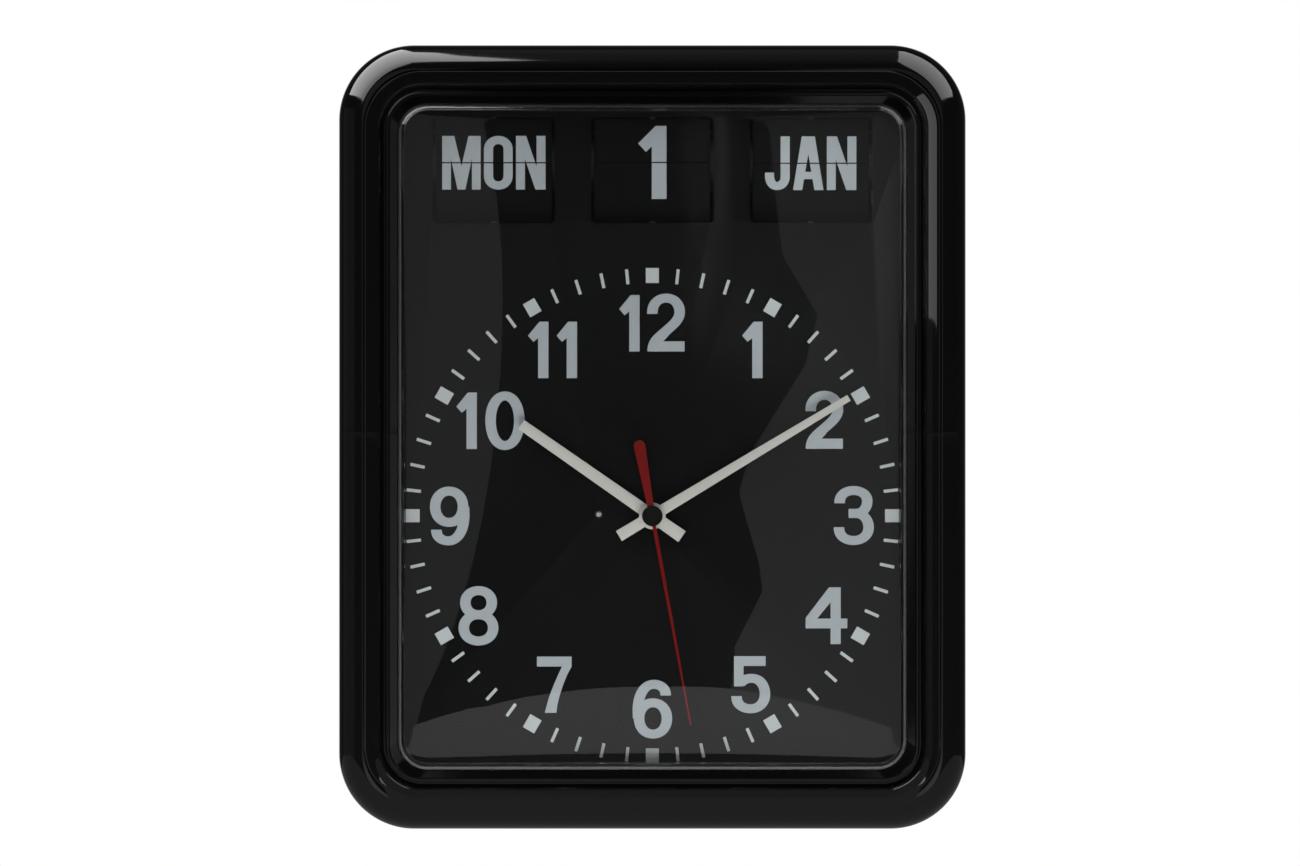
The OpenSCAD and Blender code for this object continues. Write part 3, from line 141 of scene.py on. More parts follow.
def noise(tree, scale, detail=4.0, stretch=(1, 1, 1)):
    """A noise factor in the object's own metres, as an output socket."""
    coords = tree.nodes.new("ShaderNodeTexCoord")
    mapping = tree.nodes.new("ShaderNodeMapping")
    mapping.inputs["Scale"].default_value = stretch
    texture = tree.nodes.new("ShaderNodeTexNoise")
    texture.inputs["Scale"].default_value = scale
    texture.inputs["Detail"].default_value = detail
    tree.links.new(coords.outputs["Object"], mapping.inputs["Vector"])
    tree.links.new(mapping.outputs["Vector"], texture.inputs["Vector"])
    return texture.outputs["Fac"]


def vary_colour(tree, factor, dark, light):
    ramp = tree.nodes.new("ShaderNodeMix")
    ramp.data_type = "RGBA"
    ramp.inputs["A"].default_value = (*dark, 1)
    ramp.inputs["B"].default_value = (*light, 1)
    tree.links.new(factor, ramp.inputs["Factor"])
    return ramp.outputs["Result"]


def coordinate(tree, axis, kind="Object"):
    """One coordinate of the shaded point, as an output socket."""
    coords = tree.nodes.new("ShaderNodeTexCoord")
    split = tree.nodes.new("ShaderNodeSeparateXYZ")
    tree.links.new(coords.outputs[kind], split.inputs["Vector"])
    return split.outputs[axis]


def calculate(tree, operation, first, second):
    """A Math node on a socket and a number or another socket."""
    node = tree.nodes.new("ShaderNodeMath")
    node.operation = operation
    tree.links.new(first, node.inputs[0])
    if isinstance(second, float):
        node.inputs[1].default_value = second
    else:
        tree.links.new(second, node.inputs[1])
    return node.outputs[0]


def distance(tree, value, centre):
    """How far a value lies from a number."""
    away = calculate(tree, "SUBTRACT", value, centre)
    return calculate(tree, "ABSOLUTE", away, 0.0)


def map_value(tree, value, start, end, low, high, interpolation="LINEAR"):
    """Maps the span from start to end to the values from low to high."""
    span = tree.nodes.new("ShaderNodeMapRange")
    span.interpolation_type = interpolation
    for socket, number in (("From Min", start), ("From Max", end), ("To Min", low),
                           ("To Max", high)):
        span.inputs[socket].default_value = number
    tree.links.new(value, span.inputs["Value"])
    return span.outputs["Result"]


def vary_value(tree, factor, low, high):
    return map_value(tree, factor, 0.3, 0.7, low, high)


def mix_shaders(tree, factor, first, second):
    """Mixes two shaders by a socket or a number and shows the result."""
    mix = tree.nodes.new("ShaderNodeMixShader")
    if isinstance(factor, float):
        mix.inputs["Fac"].default_value = factor
    else:
        tree.links.new(factor, mix.inputs["Fac"])
    tree.links.new(first, mix.inputs[1])
    tree.links.new(second, mix.inputs[2])
    tree.links.new(mix.outputs["Shader"], tree.nodes["Material Output"].inputs["Surface"])


def add_bump(tree, shader, factor, height_mm, strength=1.0):
    bump = tree.nodes.new("ShaderNodeBump")
    bump.inputs["Strength"].default_value = strength
    bump.inputs["Distance"].default_value = height_mm * MM
    tree.links.new(factor, bump.inputs["Height"])
    tree.links.new(bump.outputs["Normal"], shader.inputs["Normal"])


def surface(name, colour, rough, grain=900, bump_mm=0.0, spread=0.12, metal=0.0, stretch=(1, 1, 1),
            specular=0.5):
    """Moulded, painted or metal surface: colour and roughness that drift a little, and a grain."""
    material, tree, shader = new_material(name)
    drift = noise(tree, 60, 3.0)
    dark = tuple(c * (1 - spread) for c in colour)
    light = tuple(min(1.0, c * (1 + spread)) for c in colour)
    tree.links.new(vary_colour(tree, drift, dark, light), shader.inputs["Base Color"])
    fine = noise(tree, grain, 5.0, stretch)
    tree.links.new(vary_value(tree, fine, rough * 0.85, min(1.0, rough * 1.15)),
                   shader.inputs["Roughness"])
    shader.inputs["Metallic"].default_value = metal
    shader.inputs["Specular IOR Level"].default_value = specular
    if bump_mm:
        add_bump(tree, shader, fine, bump_mm, 0.6)
    return material


def clear_lens_material():
    """Clear acrylic: glass to the eye, open to lamps."""
    material, tree, shader = new_material("clear_lens")
    tree.nodes.remove(shader)
    glass = tree.nodes.new("ShaderNodeBsdfGlass")
    glass.inputs["IOR"].default_value = 1.49
    glass.inputs["Color"].default_value = (0.985, 0.99, 0.99, 1)
    haze = noise(tree, 40, 2.0)
    tree.links.new(vary_value(tree, haze, 0.0, 0.006), glass.inputs["Roughness"])
    clear = tree.nodes.new("ShaderNodeBsdfTransparent")
    clear.inputs["Color"].default_value = (0.95, 0.955, 0.955, 1)
    path = tree.nodes.new("ShaderNodeLightPath")
    mix_shaders(tree, path.outputs["Is Shadow Ray"], glass.outputs["BSDF"],
                clear.outputs["BSDF"])
    return material


def lens_edge_painted_glow_material():
    """Rounded edge of the lens: a painted pale glow along its rim stands in for gathered light."""
    material = clear_lens_material()
    material.name = "lens_edge_painted_glow"
    tree = material.node_tree
    shader = tree.nodes.new("ShaderNodeBsdfPrincipled")
    drift = noise(tree, 60, 3.0)
    tree.links.new(vary_colour(tree, drift, (0.86, 0.86, 0.85), (0.93, 0.93, 0.92)),
                   shader.inputs["Base Color"])
    shader.inputs["Roughness"].default_value = 0.2
    through = tree.nodes["Material Output"].inputs["Surface"].links[0].from_socket
    mix_shaders(tree, LENS_EDGE_PAINTED_GLOW, through, shader.outputs["BSDF"])
    return material


def lamp_material():
    """Milky epoxy of the signal lamp."""
    material = surface("lamp_clear", (0.86, 0.87, 0.88), 0.18, 400, spread=0.04)
    shader = material.node_tree.nodes["Principled BSDF"]
    shader.inputs["Transmission Weight"].default_value = 0.25
    shader.inputs["IOR"].default_value = 1.5
    return material


def winding_material():
    """Enamelled wire wound in close turns."""
    material, tree, shader = new_material("copper_wire")
    drift = noise(tree, 300, 3.0)
    colour = vary_colour(tree, drift, (0.42, 0.13, 0.04), (0.62, 0.24, 0.09))
    tree.links.new(colour, shader.inputs["Base Color"])
    coords = tree.nodes.new("ShaderNodeTexCoord")
    turns = tree.nodes.new("ShaderNodeTexWave")
    turns.bands_direction = "X"
    turns.inputs["Scale"].default_value = 950
    turns.inputs["Distortion"].default_value = 0.4
    tree.links.new(coords.outputs["Object"], turns.inputs["Vector"])
    tree.links.new(vary_value(tree, turns.outputs["Fac"], 0.38, 0.22), shader.inputs["Roughness"])
    add_bump(tree, shader, turns.outputs["Fac"], 0.12)
    shader.inputs["Metallic"].default_value = 0.85
    return material


def board_material():
    """Green lacquered board with traces under the lacquer."""
    material, tree, shader = new_material("board_green")
    coords = tree.nodes.new("ShaderNodeTexCoord")
    traces = tree.nodes.new("ShaderNodeTexBrick")
    traces.inputs["Scale"].default_value = 160
    traces.inputs["Mortar Size"].default_value = 0.035
    traces.inputs["Color1"].default_value = (0.012, 0.075, 0.03, 1)
    traces.inputs["Color2"].default_value = (0.016, 0.09, 0.036, 1)
    traces.inputs["Mortar"].default_value = (0.04, 0.16, 0.06, 1)
    swap = tree.nodes.new("ShaderNodeMapping")
    swap.inputs["Rotation"].default_value = (math.radians(90), 0, 0)
    tree.links.new(coords.outputs["Object"], swap.inputs["Vector"])
    tree.links.new(swap.outputs["Vector"], traces.inputs["Vector"])
    tree.links.new(traces.outputs["Color"], shader.inputs["Base Color"])
    fine = noise(tree, 800, 3.0)
    tree.links.new(vary_value(tree, fine, 0.28, 0.4), shader.inputs["Roughness"])
    add_bump(tree, shader, traces.outputs["Fac"], 0.03)
    return material


def cell_material():
    """Plain dry cells, end to end across the clock: a dark jacket with steel ends."""
    middle, half_jacket = 0.0255, 0.0225
    material, tree, shader = new_material("cell_jacket")
    reach = distance(tree, distance(tree, coordinate(tree, "X"), 0.0), middle)
    ends = calculate(tree, "GREATER_THAN", reach, half_jacket)
    tree.links.new(vary_colour(tree, ends, (0.03, 0.035, 0.05), (0.6, 0.6, 0.58)),
                   shader.inputs["Base Color"])
    tree.links.new(ends, shader.inputs["Metallic"])
    fine = noise(tree, 500, 3.0)
    tree.links.new(vary_value(tree, fine, 0.25, 0.36), shader.inputs["Roughness"])
    return material


MATERIALS = {
    "gloss_black_case": surface("gloss_black_case", (0.0026, 0.0026, 0.0028), 0.055, 260,
                                spread=0.1),
    "clear_lens": clear_lens_material(),
    "dial_black": surface("dial_black", (0.0030, 0.0030, 0.0032), 0.34, 2600, 0.001,
                          specular=0.15),
    "cover_black": surface("cover_black", (0.012, 0.012, 0.0125), 0.5, 2200, 0.02),
    "door_black": surface("door_black", (0.013, 0.013, 0.0135), 0.5, 2200, 0.02),
    "screw_steel": surface("screw_steel", (0.45, 0.45, 0.46), 0.3, 1500, 0.004, metal=1.0),
    "spring_steel": surface("spring_steel", (0.55, 0.56, 0.57), 0.26, 900, 0.004, metal=1.0,
                            stretch=(1, 1, 6)),
    "hand_white": surface("hand_white", (0.72, 0.71, 0.66), 0.38, 1500, 0.003, spread=0.03,
                          specular=0.25),
    "hand_red": surface("hand_red", (0.205, 0.005, 0.004), 0.34, 1500, 0.003, spread=0.06,
                        specular=0.15),
    "cap_black": surface("cap_black", (0.003, 0.003, 0.0031), 0.32, 1500, 0.003, specular=0.3),
    "wheel_resin": surface("wheel_resin", (0.72, 0.70, 0.64), 0.42, 1200, 0.004, spread=0.05),
    "magnet_dark": surface("magnet_dark", (0.04, 0.04, 0.045), 0.35, 1800, 0.01, metal=0.6),
    "housing_black": surface("housing_black", (0.016, 0.016, 0.017), 0.46, 2000, 0.015),
    "plate_resin": surface("plate_resin", (0.5, 0.5, 0.47), 0.45, 1500, 0.01, spread=0.05),
    "board_green": board_material(),
    "stator_steel": surface("stator_steel", (0.42, 0.42, 0.43), 0.34, 1400, 0.006, metal=1.0),
    "copper_wire": winding_material(),
    "lamp_clear": lamp_material(),
    "nut_brass": surface("nut_brass", (0.62, 0.43, 0.14), 0.3, 900, 0.004, metal=1.0),
    "ferrite": surface("ferrite", (0.035, 0.034, 0.036), 0.55, 1800, 0.03),
    "leaf_black": surface("leaf_black", (0.0030, 0.0030, 0.0033), 0.25, 2400, 0.001, specular=0.2),
    "drum_resin": surface("drum_resin", (0.010, 0.010, 0.0105), 0.45, 1500, 0.01, specular=0.3),
    "frame_black": surface("frame_black", (0.009, 0.009, 0.0095), 0.5, 1800, 0.02, specular=0.3),
    "motor_can": surface("motor_can", (0.5, 0.5, 0.49), 0.3, 900, 0.006, metal=1.0),
    "switch_black": surface("switch_black", (0.02, 0.02, 0.02), 0.4, 1500, 0.01),
    "button_grey": surface("button_grey", (0.17, 0.17, 0.175), 0.42, 1800, 0.012),
    "cell_jacket": cell_material(),
}
# Painted pale glow for the lens's rounded edge, a painted highlight in place of light in the
# acrylic
LENS_EDGE = lens_edge_painted_glow_material()
DARK_SPRING = surface("dark_spring", (0.035, 0.035, 0.037), 0.4, 900, 0.004, metal=0.6)
INK = surface("dial_ink", (0.50, 0.55, 0.58), 0.5, 2600, 0.004, spread=0.04)
TRACK_INK = surface("track_ink", (0.66, 0.70, 0.71), 0.5, 2600, 0.004, spread=0.03)
LEAF_INK = surface("leaf_ink", (0.56, 0.61, 0.64), 0.5, 2600, 0.004, spread=0.05)

slot_of = {part["node"]: part["material_slot"] for part in frame["record"]["subparts"]}


# Mesh helpers


def add_piece(name, bm, body, material):
    """Makes an object of a bmesh in the frame's metres, on its body."""
    bmesh.ops.recalc_face_normals(bm, faces=bm.faces)
    mesh = bpy.data.meshes.new(name)
    bm.to_mesh(mesh)
    bm.free()
    piece = bpy.data.objects.new(name, mesh)
    bpy.context.scene.collection.objects.link(piece)
    mesh.materials.append(material)
    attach(piece, body)
    return piece


def smooth_by_angle(piece, degrees):
    piece.data.shade_smooth()
    piece.data.set_sharp_from_angle(angle=math.radians(degrees))


def outline(inset, centre_inset, segments, side_steps=1):
    """Points round the case at an inset; the corner's centre lies centre_inset inside the case."""
    radius = centre_inset - inset
    half_w, half_h = CASE_W / 2 - centre_inset, CASE_H / 2 - centre_inset
    points = []
    for corner, (sx, sy) in enumerate(((1, 1), (-1, 1), (-1, -1), (1, -1))):
        for step in range(segments + 1):
            turn = math.radians(90 * (corner + step / segments))
            points.append((sx * half_w + radius * math.cos(turn),
                           sy * half_h + radius * math.sin(turn)))
        end_x, end_y = points[-1]
        length = 2 * (half_h if corner % 2 else half_w)
        along = ((-1, 0), (0, -1), (1, 0), (0, 1))[corner]
        for step in range(1, side_steps):
            run = length * step / side_steps
            points.append((end_x + along[0] * run, end_y + along[1] * run))
    return points


def arc(centre, radius, start, end, steps):
    """Points of a profile's arc; angles in degrees, 0 towards the inside and 90 to the front."""
    return [(centre[0] + radius * math.cos(math.radians(start + (end - start) * k / steps)),
             centre[1] + radius * math.sin(math.radians(start + (end - start) * k / steps)))
            for k in range(steps + 1)]


def rounded_profile(points, radii, steps=3):
    """Replaces each corner of a closed profile whose radius isn't 0 by a small round."""
    result = []
    count = len(points)
    for k, (x, y, centre) in enumerate(points):
        radius = radii[k]
        if not radius:
            result.append((x, y, centre))
            continue
        here = Vector((x, y))
        before = Vector(points[k - 1][:2]) - here
        after = Vector(points[(k + 1) % count][:2]) - here
        start = here + before.normalized() * radius
        end = here + after.normalized() * radius
        for step in range(steps + 1):
            t = step / steps
            p = start * (1 - t) ** 2 + here * 2 * t * (1 - t) + end * t ** 2
            result.append((p.x, p.y, centre))
    return result


def sweep(bm, profile, segments, close=True, side_steps=1, second=()):
    """Sweeps a profile of (inset, depth, corner centre's inset) round the case.

    The strips whose numbers are in second take the object's second material.
    """
    rings = []
    for inset, depth, centre in profile:
        rings.append([bm.verts.new(place(x, CASE_MID + y, depth))
                      for x, y in outline(inset, centre, segments, side_steps)])
    count = len(rings[0])
    pairs = list(zip(rings, rings[1:]))
    if close:
        pairs.append((rings[-1], rings[0]))
    for number, (lower, upper) in enumerate(pairs):
        for k in range(count):
            face = bm.faces.new((lower[k], lower[(k + 1) % count], upper[(k + 1) % count],
                                 upper[k]))
            face.material_index = int(number in second)
    return rings


def tube(bm, x, z, depth_0, depth_1, outer_r, inner_r, deep, sides=32):
    """Round boss with a blind hole in its rear end."""
    def ring(radius, depth):
        return [bm.verts.new(place(x + radius * math.cos(math.tau * k / sides),
                                   z + radius * math.sin(math.tau * k / sides), depth))
                for k in range(sides)]
    rings = [ring(outer_r, depth_1), ring(outer_r, depth_0), ring(inner_r, depth_0),
             ring(inner_r, depth_0 + deep)]
    for a, b in zip(rings, rings[1:]):
        for k in range(sides):
            bm.faces.new((a[k], a[(k + 1) % sides], b[(k + 1) % sides], b[k]))
    bm.faces.new(rings[0])
    bm.faces.new(rings[-1])


# Front case and lens


def front_case():
    """The gloss moulding as one smooth swept shell: shoulder, crown, groove, ring and ledge."""
    outer, inner, lens = CORNER_CENTRE, INNER_CORNER_CENTRE, LENS_CORNER_CENTRE
    inner_r = BEZEL_W - SHOULDER_R
    groove_d, ring_d = LEDGE_D - GROOVE_DROP, LEDGE_D + RING_RISE
    ring_inset = BEZEL_W + GROOVE_W
    ledge_under = LEDGE_D - LEDGE_T
    points, radii = [], []

    def add(x, y, centre, radius=0.0):
        points.append((x, y, centre))
        radii.append(radius)

    add(0, PARTING_D, outer, 0.5)
    for x, y in arc((SHOULDER_R, CASE_D - SHOULDER_R), SHOULDER_R, 180, 90, 22):
        add(min(x, SHOULDER_R - 0.05), y, outer)
    for x, y in arc((SHOULDER_R, CASE_D - inner_r), inner_r, 90, 0, 20):
        add(max(x, SHOULDER_R + 0.05), y, inner)
    add(BEZEL_W, groove_d, inner, 0.2)
    add(ring_inset, groove_d, inner, 0.2)
    add(ring_inset, ring_d, inner, 0.45)
    add(ring_inset + RING_W, ring_d, inner, 0.45)
    add(ring_inset + RING_W, LEDGE_D, inner, 0.25)
    add(OPENING_INSET, LEDGE_D, lens, 0.4)
    add(OPENING_INSET, ledge_under, lens, 0.3)
    add(BEZEL_W - WALL, ledge_under, inner)
    for x, y in arc((SHOULDER_R, CASE_D - inner_r), inner_r - WALL, 0, 90, 8):
        add(max(x, SHOULDER_R + 0.05), y, inner)
    for x, y in arc((SHOULDER_R, CASE_D - SHOULDER_R), SHOULDER_R - WALL, 90, 180, 8):
        add(min(x, SHOULDER_R - 0.05), y, outer)
    add(WALL, PARTING_D, outer, 0.4)
    bm = bmesh.new()
    sweep(bm, rounded_profile(points, radii), 28, side_steps=10)
    side_x, end_y = CASE_W / 2 - DIAL_BOSS_INSET, CASE_H / 2 - DIAL_BOSS_INSET
    cover_x, cover_y = CASE_W / 2 - COVER_BOSS_INSET, CASE_H / 2 - COVER_BOSS_END
    for sx in (-1, 1):
        for sy in (-1, 1):
            for x, y in ((CASE_W / 2 - DIAL_BOSS_END, end_y), (side_x, DIAL_BOSS_SIDE)):
                tube(bm, sx * x, CASE_MID + sy * y, DIAL_D + DIAL_BOSS_GAP, BOSS_TOP_D,
                     DIAL_BOSS_R, BOSS_BORE_R, DIAL_BOSS_BORE)
        for sy in (-1, 0, 1):
            tube(bm, sx * cover_x, CASE_MID + sy * cover_y, COVER_BOSS_D, BOSS_TOP_D,
                 COVER_BOSS_R, BOSS_BORE_R, COVER_BOSS_BORE)
    piece = add_piece("front_case_moulding", bm, "clock", MATERIALS["gloss_black_case"])
    smooth_by_angle(piece, 40)
    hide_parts("front_case")


def lens_crown(x, y):
    """How far the lens face stands proud of its edge at a point from the case's middle."""
    half_w = CASE_W / 2 - LENS_INSET
    half_h = CASE_H / 2 - LENS_INSET
    return LENS_CROWN * max(0.0, 1 - (x / half_w) ** 2) * max(0.0, 1 - (y / half_h) ** 2)


def lens_face(bm, rim, depth, rings=26):
    """Closes a ring of the lens with a crowned face."""
    count = len(rim)
    rim_at = [(v.co.x / MM, v.co.z / MM - CASE_MID) for v in rim]
    last = rim
    for step in range(1, rings):
        share = 1 - step / rings
        ring = []
        for x, y in rim_at:
            px, py = x * share, y * share
            ring.append(bm.verts.new(place(px, CASE_MID + py, depth + lens_crown(px, py))))
        for k in range(count):
            bm.faces.new((last[k], last[(k + 1) % count], ring[(k + 1) % count], ring[k]))
        last = ring
    middle = bm.verts.new(place(0, CASE_MID, depth + LENS_CROWN))
    for k in range(count):
        bm.faces.new((last[k], last[(k + 1) % count], middle))


def window_lens():
    """Clear deep tray: a flange behind the ledge, a wall, a rounded edge and a crowned face."""
    centre = LENS_CORNER_CENTRE
    flange_top = LENS_BACK_D + FLANGE_T
    inner_inset = LENS_INSET + LENS_WALL
    inner_d = LENS_D - LENS_WALL
    outside = [(LENS_FLANGE_INSET, flange_top, centre), (LENS_INSET, flange_top, centre)]
    outside += [(x, y, centre) for x, y in
                arc((LENS_INSET + LENS_EDGE_R, LENS_D - LENS_EDGE_R), LENS_EDGE_R, 180, 90, 10)]
    inside = [(x, y, centre) for x, y in
              arc((inner_inset + LENS_INNER_R, inner_d - LENS_INNER_R), LENS_INNER_R, 90, 180, 6)]
    inside += [(inner_inset, LENS_BACK_D, centre), (LENS_FLANGE_INSET, LENS_BACK_D, centre)]
    bm = bmesh.new()
    outer_rings = sweep(bm, outside, 24, close=False, side_steps=24, second=range(2, 9))
    inner_rings = sweep(bm, inside, 24, close=False, side_steps=24)
    count = len(outer_rings[0])
    for k in range(count):
        n = (k + 1) % count
        bm.faces.new((inner_rings[-1][k], inner_rings[-1][n], outer_rings[0][n],
                      outer_rings[0][k]))
    lens_face(bm, outer_rings[-1], LENS_D)
    lens_face(bm, inner_rings[0], inner_d)
    piece = add_piece("window_lens_pane", bm, "clock", MATERIALS["clear_lens"])
    # The rounded edge's strips take the painted pale glow
    piece.data.materials.append(LENS_EDGE)
    smooth_by_angle(piece, 40)
    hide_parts("window_lens")


# Printed letters and figures

# Each character is (width, strokes, rings, polygons) in mm above its baseline. A stroke is a
# path for its middle line: M moves, L is a line, C a cubic, H a quarter round that starts
# level and V one that starts upright. A ring is (middle x, y, half width, half height).
NUMERALS = {
    "0": (20.5, [], [(10.25, 14.5, 7.4, 12.75)], []),
    "1": (10.5, [], [], [[(5.2, 0), (10.5, 0), (10.5, 29), (5.9, 29), (0, 21.8), (2.8, 18.6),
                          (5.2, 20.6)]]),
    "2": (19, ["M 2.4 19.3 L 2.4 20.3 V 9.5 27.45 H 16.4 20.2 "
               "C 16.4 16.2 12.7 13.5 9.1 10.3 C 5.1 6.9 2.5 5 2.5 0"], [],
          [[(0.1, 0), (18.9, 0), (18.9, 5.2), (7.9, 5.2), (10.7, 8.1), (5.5, 7.5)]]),
    "3": (20.5, ["M 2.9 21.2 L 2.9 21.9 V 10 27.75 H 17.1 22.4 V 11.3 16 L 7.5 16",
                 "M 7.5 15.95 L 11.3 15.95 H 17.8 8.7 V 10 2.05 H 2.6 8.2 L 2.6 8.9"], [], []),
    "4": (21.4, [], [], [[(12.8, 0), (18, 0), (18, 29.2), (12.8, 29.2)],
                         [(0, 8.1), (21.4, 8.1), (21.4, 13.1), (0, 13.1)],
                         [(0, 13.1), (5.9, 13.1), (12.8, 21.5), (12.8, 29.2), (12, 29.2),
                          (0, 13.5)]]),
    "5": (20, ["M 4.8 15.4 C 6.4 17.1 8.2 17.8 10.4 17.75 H 17.2 9.6 V 9.8 2.05 H 2.6 8 "
               "L 2.6 8.6"], [],
          [[(1.3, 13.6), (6, 13.6), (6.2, 24.1), (17.5, 24.1), (17.5, 29.1), (1.3, 29.1)]]),
    "6": (20.5, ["M 17 21.9 L 17 22.4 V 10.8 27.65 H 2.7 14.5 L 2.8 10.1"],
          [(10.5, 10.1, 7.15, 8.05)], []),
    "7": (17.8, [], [], [[(0, 23.8), (17.8, 23.8), (17.8, 28.9), (0, 28.9)],
                         [(12.9, 23.8), (11.0, 19.8), (8.5, 14), (6.2, 8), (4.8, 3), (4, 0),
                          (10, 0), (10.5, 4), (11.7, 9), (13.3, 14), (15.5, 19.5),
                          (17.3, 22.8), (17.8, 23.8)]]),
    "8": (20.6, [], [(10.4, 21.5, 6.8, 6.2), (10.35, 8.55, 7.55, 6.75)], []),
}
NUMERAL_UPRIGHT, NUMERAL_LEVEL = 5.4, 4.6  # stroke widths of upright and level parts
NUMERAL_GAP = 4.2
NINE_H = 29.5  # a 9 is a 6 turned over in this height
# Numeral on the dial: (middle across, baseline above the hands' axis)
DIAL_NUMERALS = {
    "12": (-0.2, 84.4), "1": (51.4, 70.7), "2": (88.5, 34.4), "3": (103.6, -14.8),
    "4": (89.5, -66.0), "5": (50.7, -101.3), "6": (0.1, -114.3), "7": (-50.4, -101.3),
    "8": (-89.4, -66.2), "9": (-104.2, -14.8), "10": (-83.1, 34.3), "11": (-51.3, 70.7),
}

# Condensed capitals and date figures of the leaves, on the same plan
LEAF_CAPS = {
    "M": (19.8, [], [], [[(0, 0), (4.5, 0), (4.5, 27.6), (0, 27.6)],
                         [(15.3, 0), (19.8, 0), (19.8, 27.6), (15.3, 27.6)],
                         [(2, 27.6), (6.2, 27.6), (9.9, 12.2), (11.9, 0), (7.9, 0)],
                         [(17.8, 27.6), (13.6, 27.6), (9.9, 12.2), (7.9, 0), (11.9, 0)]]),
    "O": (14.8, ["M 2.35 7 L 2.35 20.6 V 7.4 25.5 H 12.45 20.6 L 12.45 7 V 7.4 2.1 H 2.35 7"],
          [], []),
    "N": (15.2, [], [], [[(0, 0), (4.6, 0), (4.6, 27.6), (0, 27.6)],
                         [(10.6, 0), (15.2, 0), (15.2, 27.6), (10.6, 27.6)],
                         [(0.5, 27.6), (5.2, 27.6), (14.7, 0), (10, 0)]]),
    "J": (12.6, ["M 10.25 27.6 L 10.25 6.8 V 6 2.1 H 2.2 7.2 L 2.2 9"], [], []),
    "A": (15.7, [], [], [[(0, 0), (4.7, 0), (9.4, 27.6), (4.5, 27.6)],
                         [(15.7, 0), (11, 0), (6.3, 27.6), (11.2, 27.6)],
                         [(3, 5.6), (12.7, 5.6), (12, 9.4), (3.7, 9.4)]]),
    "T": (14, [], [], [[(4.7, 0), (9.3, 0), (9.3, 27.6), (4.7, 27.6)],
                       [(0, 23.2), (14, 23.2), (14, 27.6), (0, 27.6)]]),
    "U": (14.8, ["M 2.35 27.6 L 2.35 7 V 7.4 2.1 H 12.45 7 L 12.45 27.6"], [], []),
    "E": (12.2, [], [], [[(0, 0), (4.6, 0), (4.6, 27.6), (0, 27.6)],
                         [(0, 0), (12.2, 0), (12.2, 4.3), (0, 4.3)],
                         [(0, 11.8), (11.2, 11.8), (11.2, 16.1), (0, 16.1)],
                         [(0, 23.3), (12.2, 23.3), (12.2, 27.6), (0, 27.6)]]),
    "F": (12, [], [], [[(0, 0), (4.6, 0), (4.6, 27.6), (0, 27.6)],
                       [(0, 11.5), (11, 11.5), (11, 15.8), (0, 15.8)],
                       [(0, 23.3), (12, 23.3), (12, 27.6), (0, 27.6)]]),
    "B": (14.6, ["M 3 25.5 L 7.6 25.5 H 11.9 20.2 V 7.6 14.6 L 3 14.6",
                 "M 3 14.2 L 7.8 14.2 H 12.3 7.9 V 7.8 2.1 L 3 2.1"], [],
          [[(0, 0), (4.6, 0), (4.6, 27.6), (0, 27.6)]]),
    "1": (14.6, [], [], [[(7, 0), (14.6, 0), (14.6, 37.6), (9, 37.6), (0, 28.6), (4, 24.2),
                          (7, 27)]]),
    "2": (25.4, ["M 3.3 25.2 L 3.3 26.4 V 12.7 35.4 H 21.9 26.2 "
                 "C 21.9 21 17 17.6 12.1 13.4 C 6.9 9 3.4 6.4 3.4 0"], [],
          [[(0.1, 0), (25.3, 0), (25.3, 6.4), (10.6, 6.4), (14.4, 10.6), (7.4, 9.7)]]),
}
CAPS_H, CAPS_UPRIGHT, CAPS_LEVEL = 27.6, 4.7, 4.2
FIGURE_H, FIGURE_UPRIGHT, FIGURE_LEVEL = 37.6, 6.6, 5.4
CAPS_GAP = 1.7
ROUNDNESS = 0.58  # of a quarter round, where 0.5523 is an ellipse


def walk(path, steps=12):
    """Points along a path of the small language above."""
    words = path.split()
    points, k, here = [], 0, (0.0, 0.0)
    while k < len(words):
        command = words[k]
        need = 6 if command == "C" else 2
        values = [float(w) for w in words[k + 1:k + 1 + need]]
        k += 1 + need
        end = (values[-2], values[-1])
        if command in "ML":
            points.append(end)
            here = end
            continue
        if command == "C":
            first, second = (values[0], values[1]), (values[2], values[3])
        elif command == "H":
            first = (here[0] + ROUNDNESS * (end[0] - here[0]), here[1])
            second = (end[0], end[1] - ROUNDNESS * (end[1] - here[1]))
        else:
            first = (here[0], here[1] + ROUNDNESS * (end[1] - here[1]))
            second = (end[0] - ROUNDNESS * (end[0] - here[0]), end[1])
        for step in range(1, steps + 1):
            t = step / steps
            points.append(tuple(
                (1 - t) ** 3 * here[i] + 3 * t * (1 - t) ** 2 * first[i]
                + 3 * t ** 2 * (1 - t) * second[i] + t ** 3 * end[i] for i in (0, 1)))
        here = end
    return points


def ring_path(x, y, rx, ry):
    return (f"M {x - rx} {y} V {x} {y + ry} H {x + rx} {y} V {x} {y - ry} H {x - rx} {y}")


def stroke_quads(points, upright, level, closed=False):
    """Quads along a line; a part's width depends on how upright it runs."""
    if closed:
        points = points[:-1]
    count = len(points)
    sides = []
    for k, here in enumerate(points):
        before = points[k - 1] if closed or k else here
        after = points[(k + 1) % count] if closed or k + 1 < count else here
        along = Vector((after[0] - before[0], after[1] - before[1])).normalized()
        half = math.hypot(upright * along.y, level * along.x) / 2
        across = Vector((-along.y, along.x)) * half
        sides.append(((here[0] + across.x, here[1] + across.y),
                      (here[0] - across.x, here[1] - across.y)))
    last = count if closed else count - 1
    return [[sides[k][0], sides[k][1], sides[(k + 1) % count][1], sides[(k + 1) % count][0]]
            for k in range(last)]


def character_faces(shape, upright, level):
    """The polygons whose union is a character."""
    width, strokes, rings, polygons = shape
    faces = [list(p) for p in polygons]
    for path in strokes:
        faces += stroke_quads(walk(path), upright, level)
    for ring in rings:
        faces += stroke_quads(walk(ring_path(*ring)), upright, level, closed=True)
    return faces


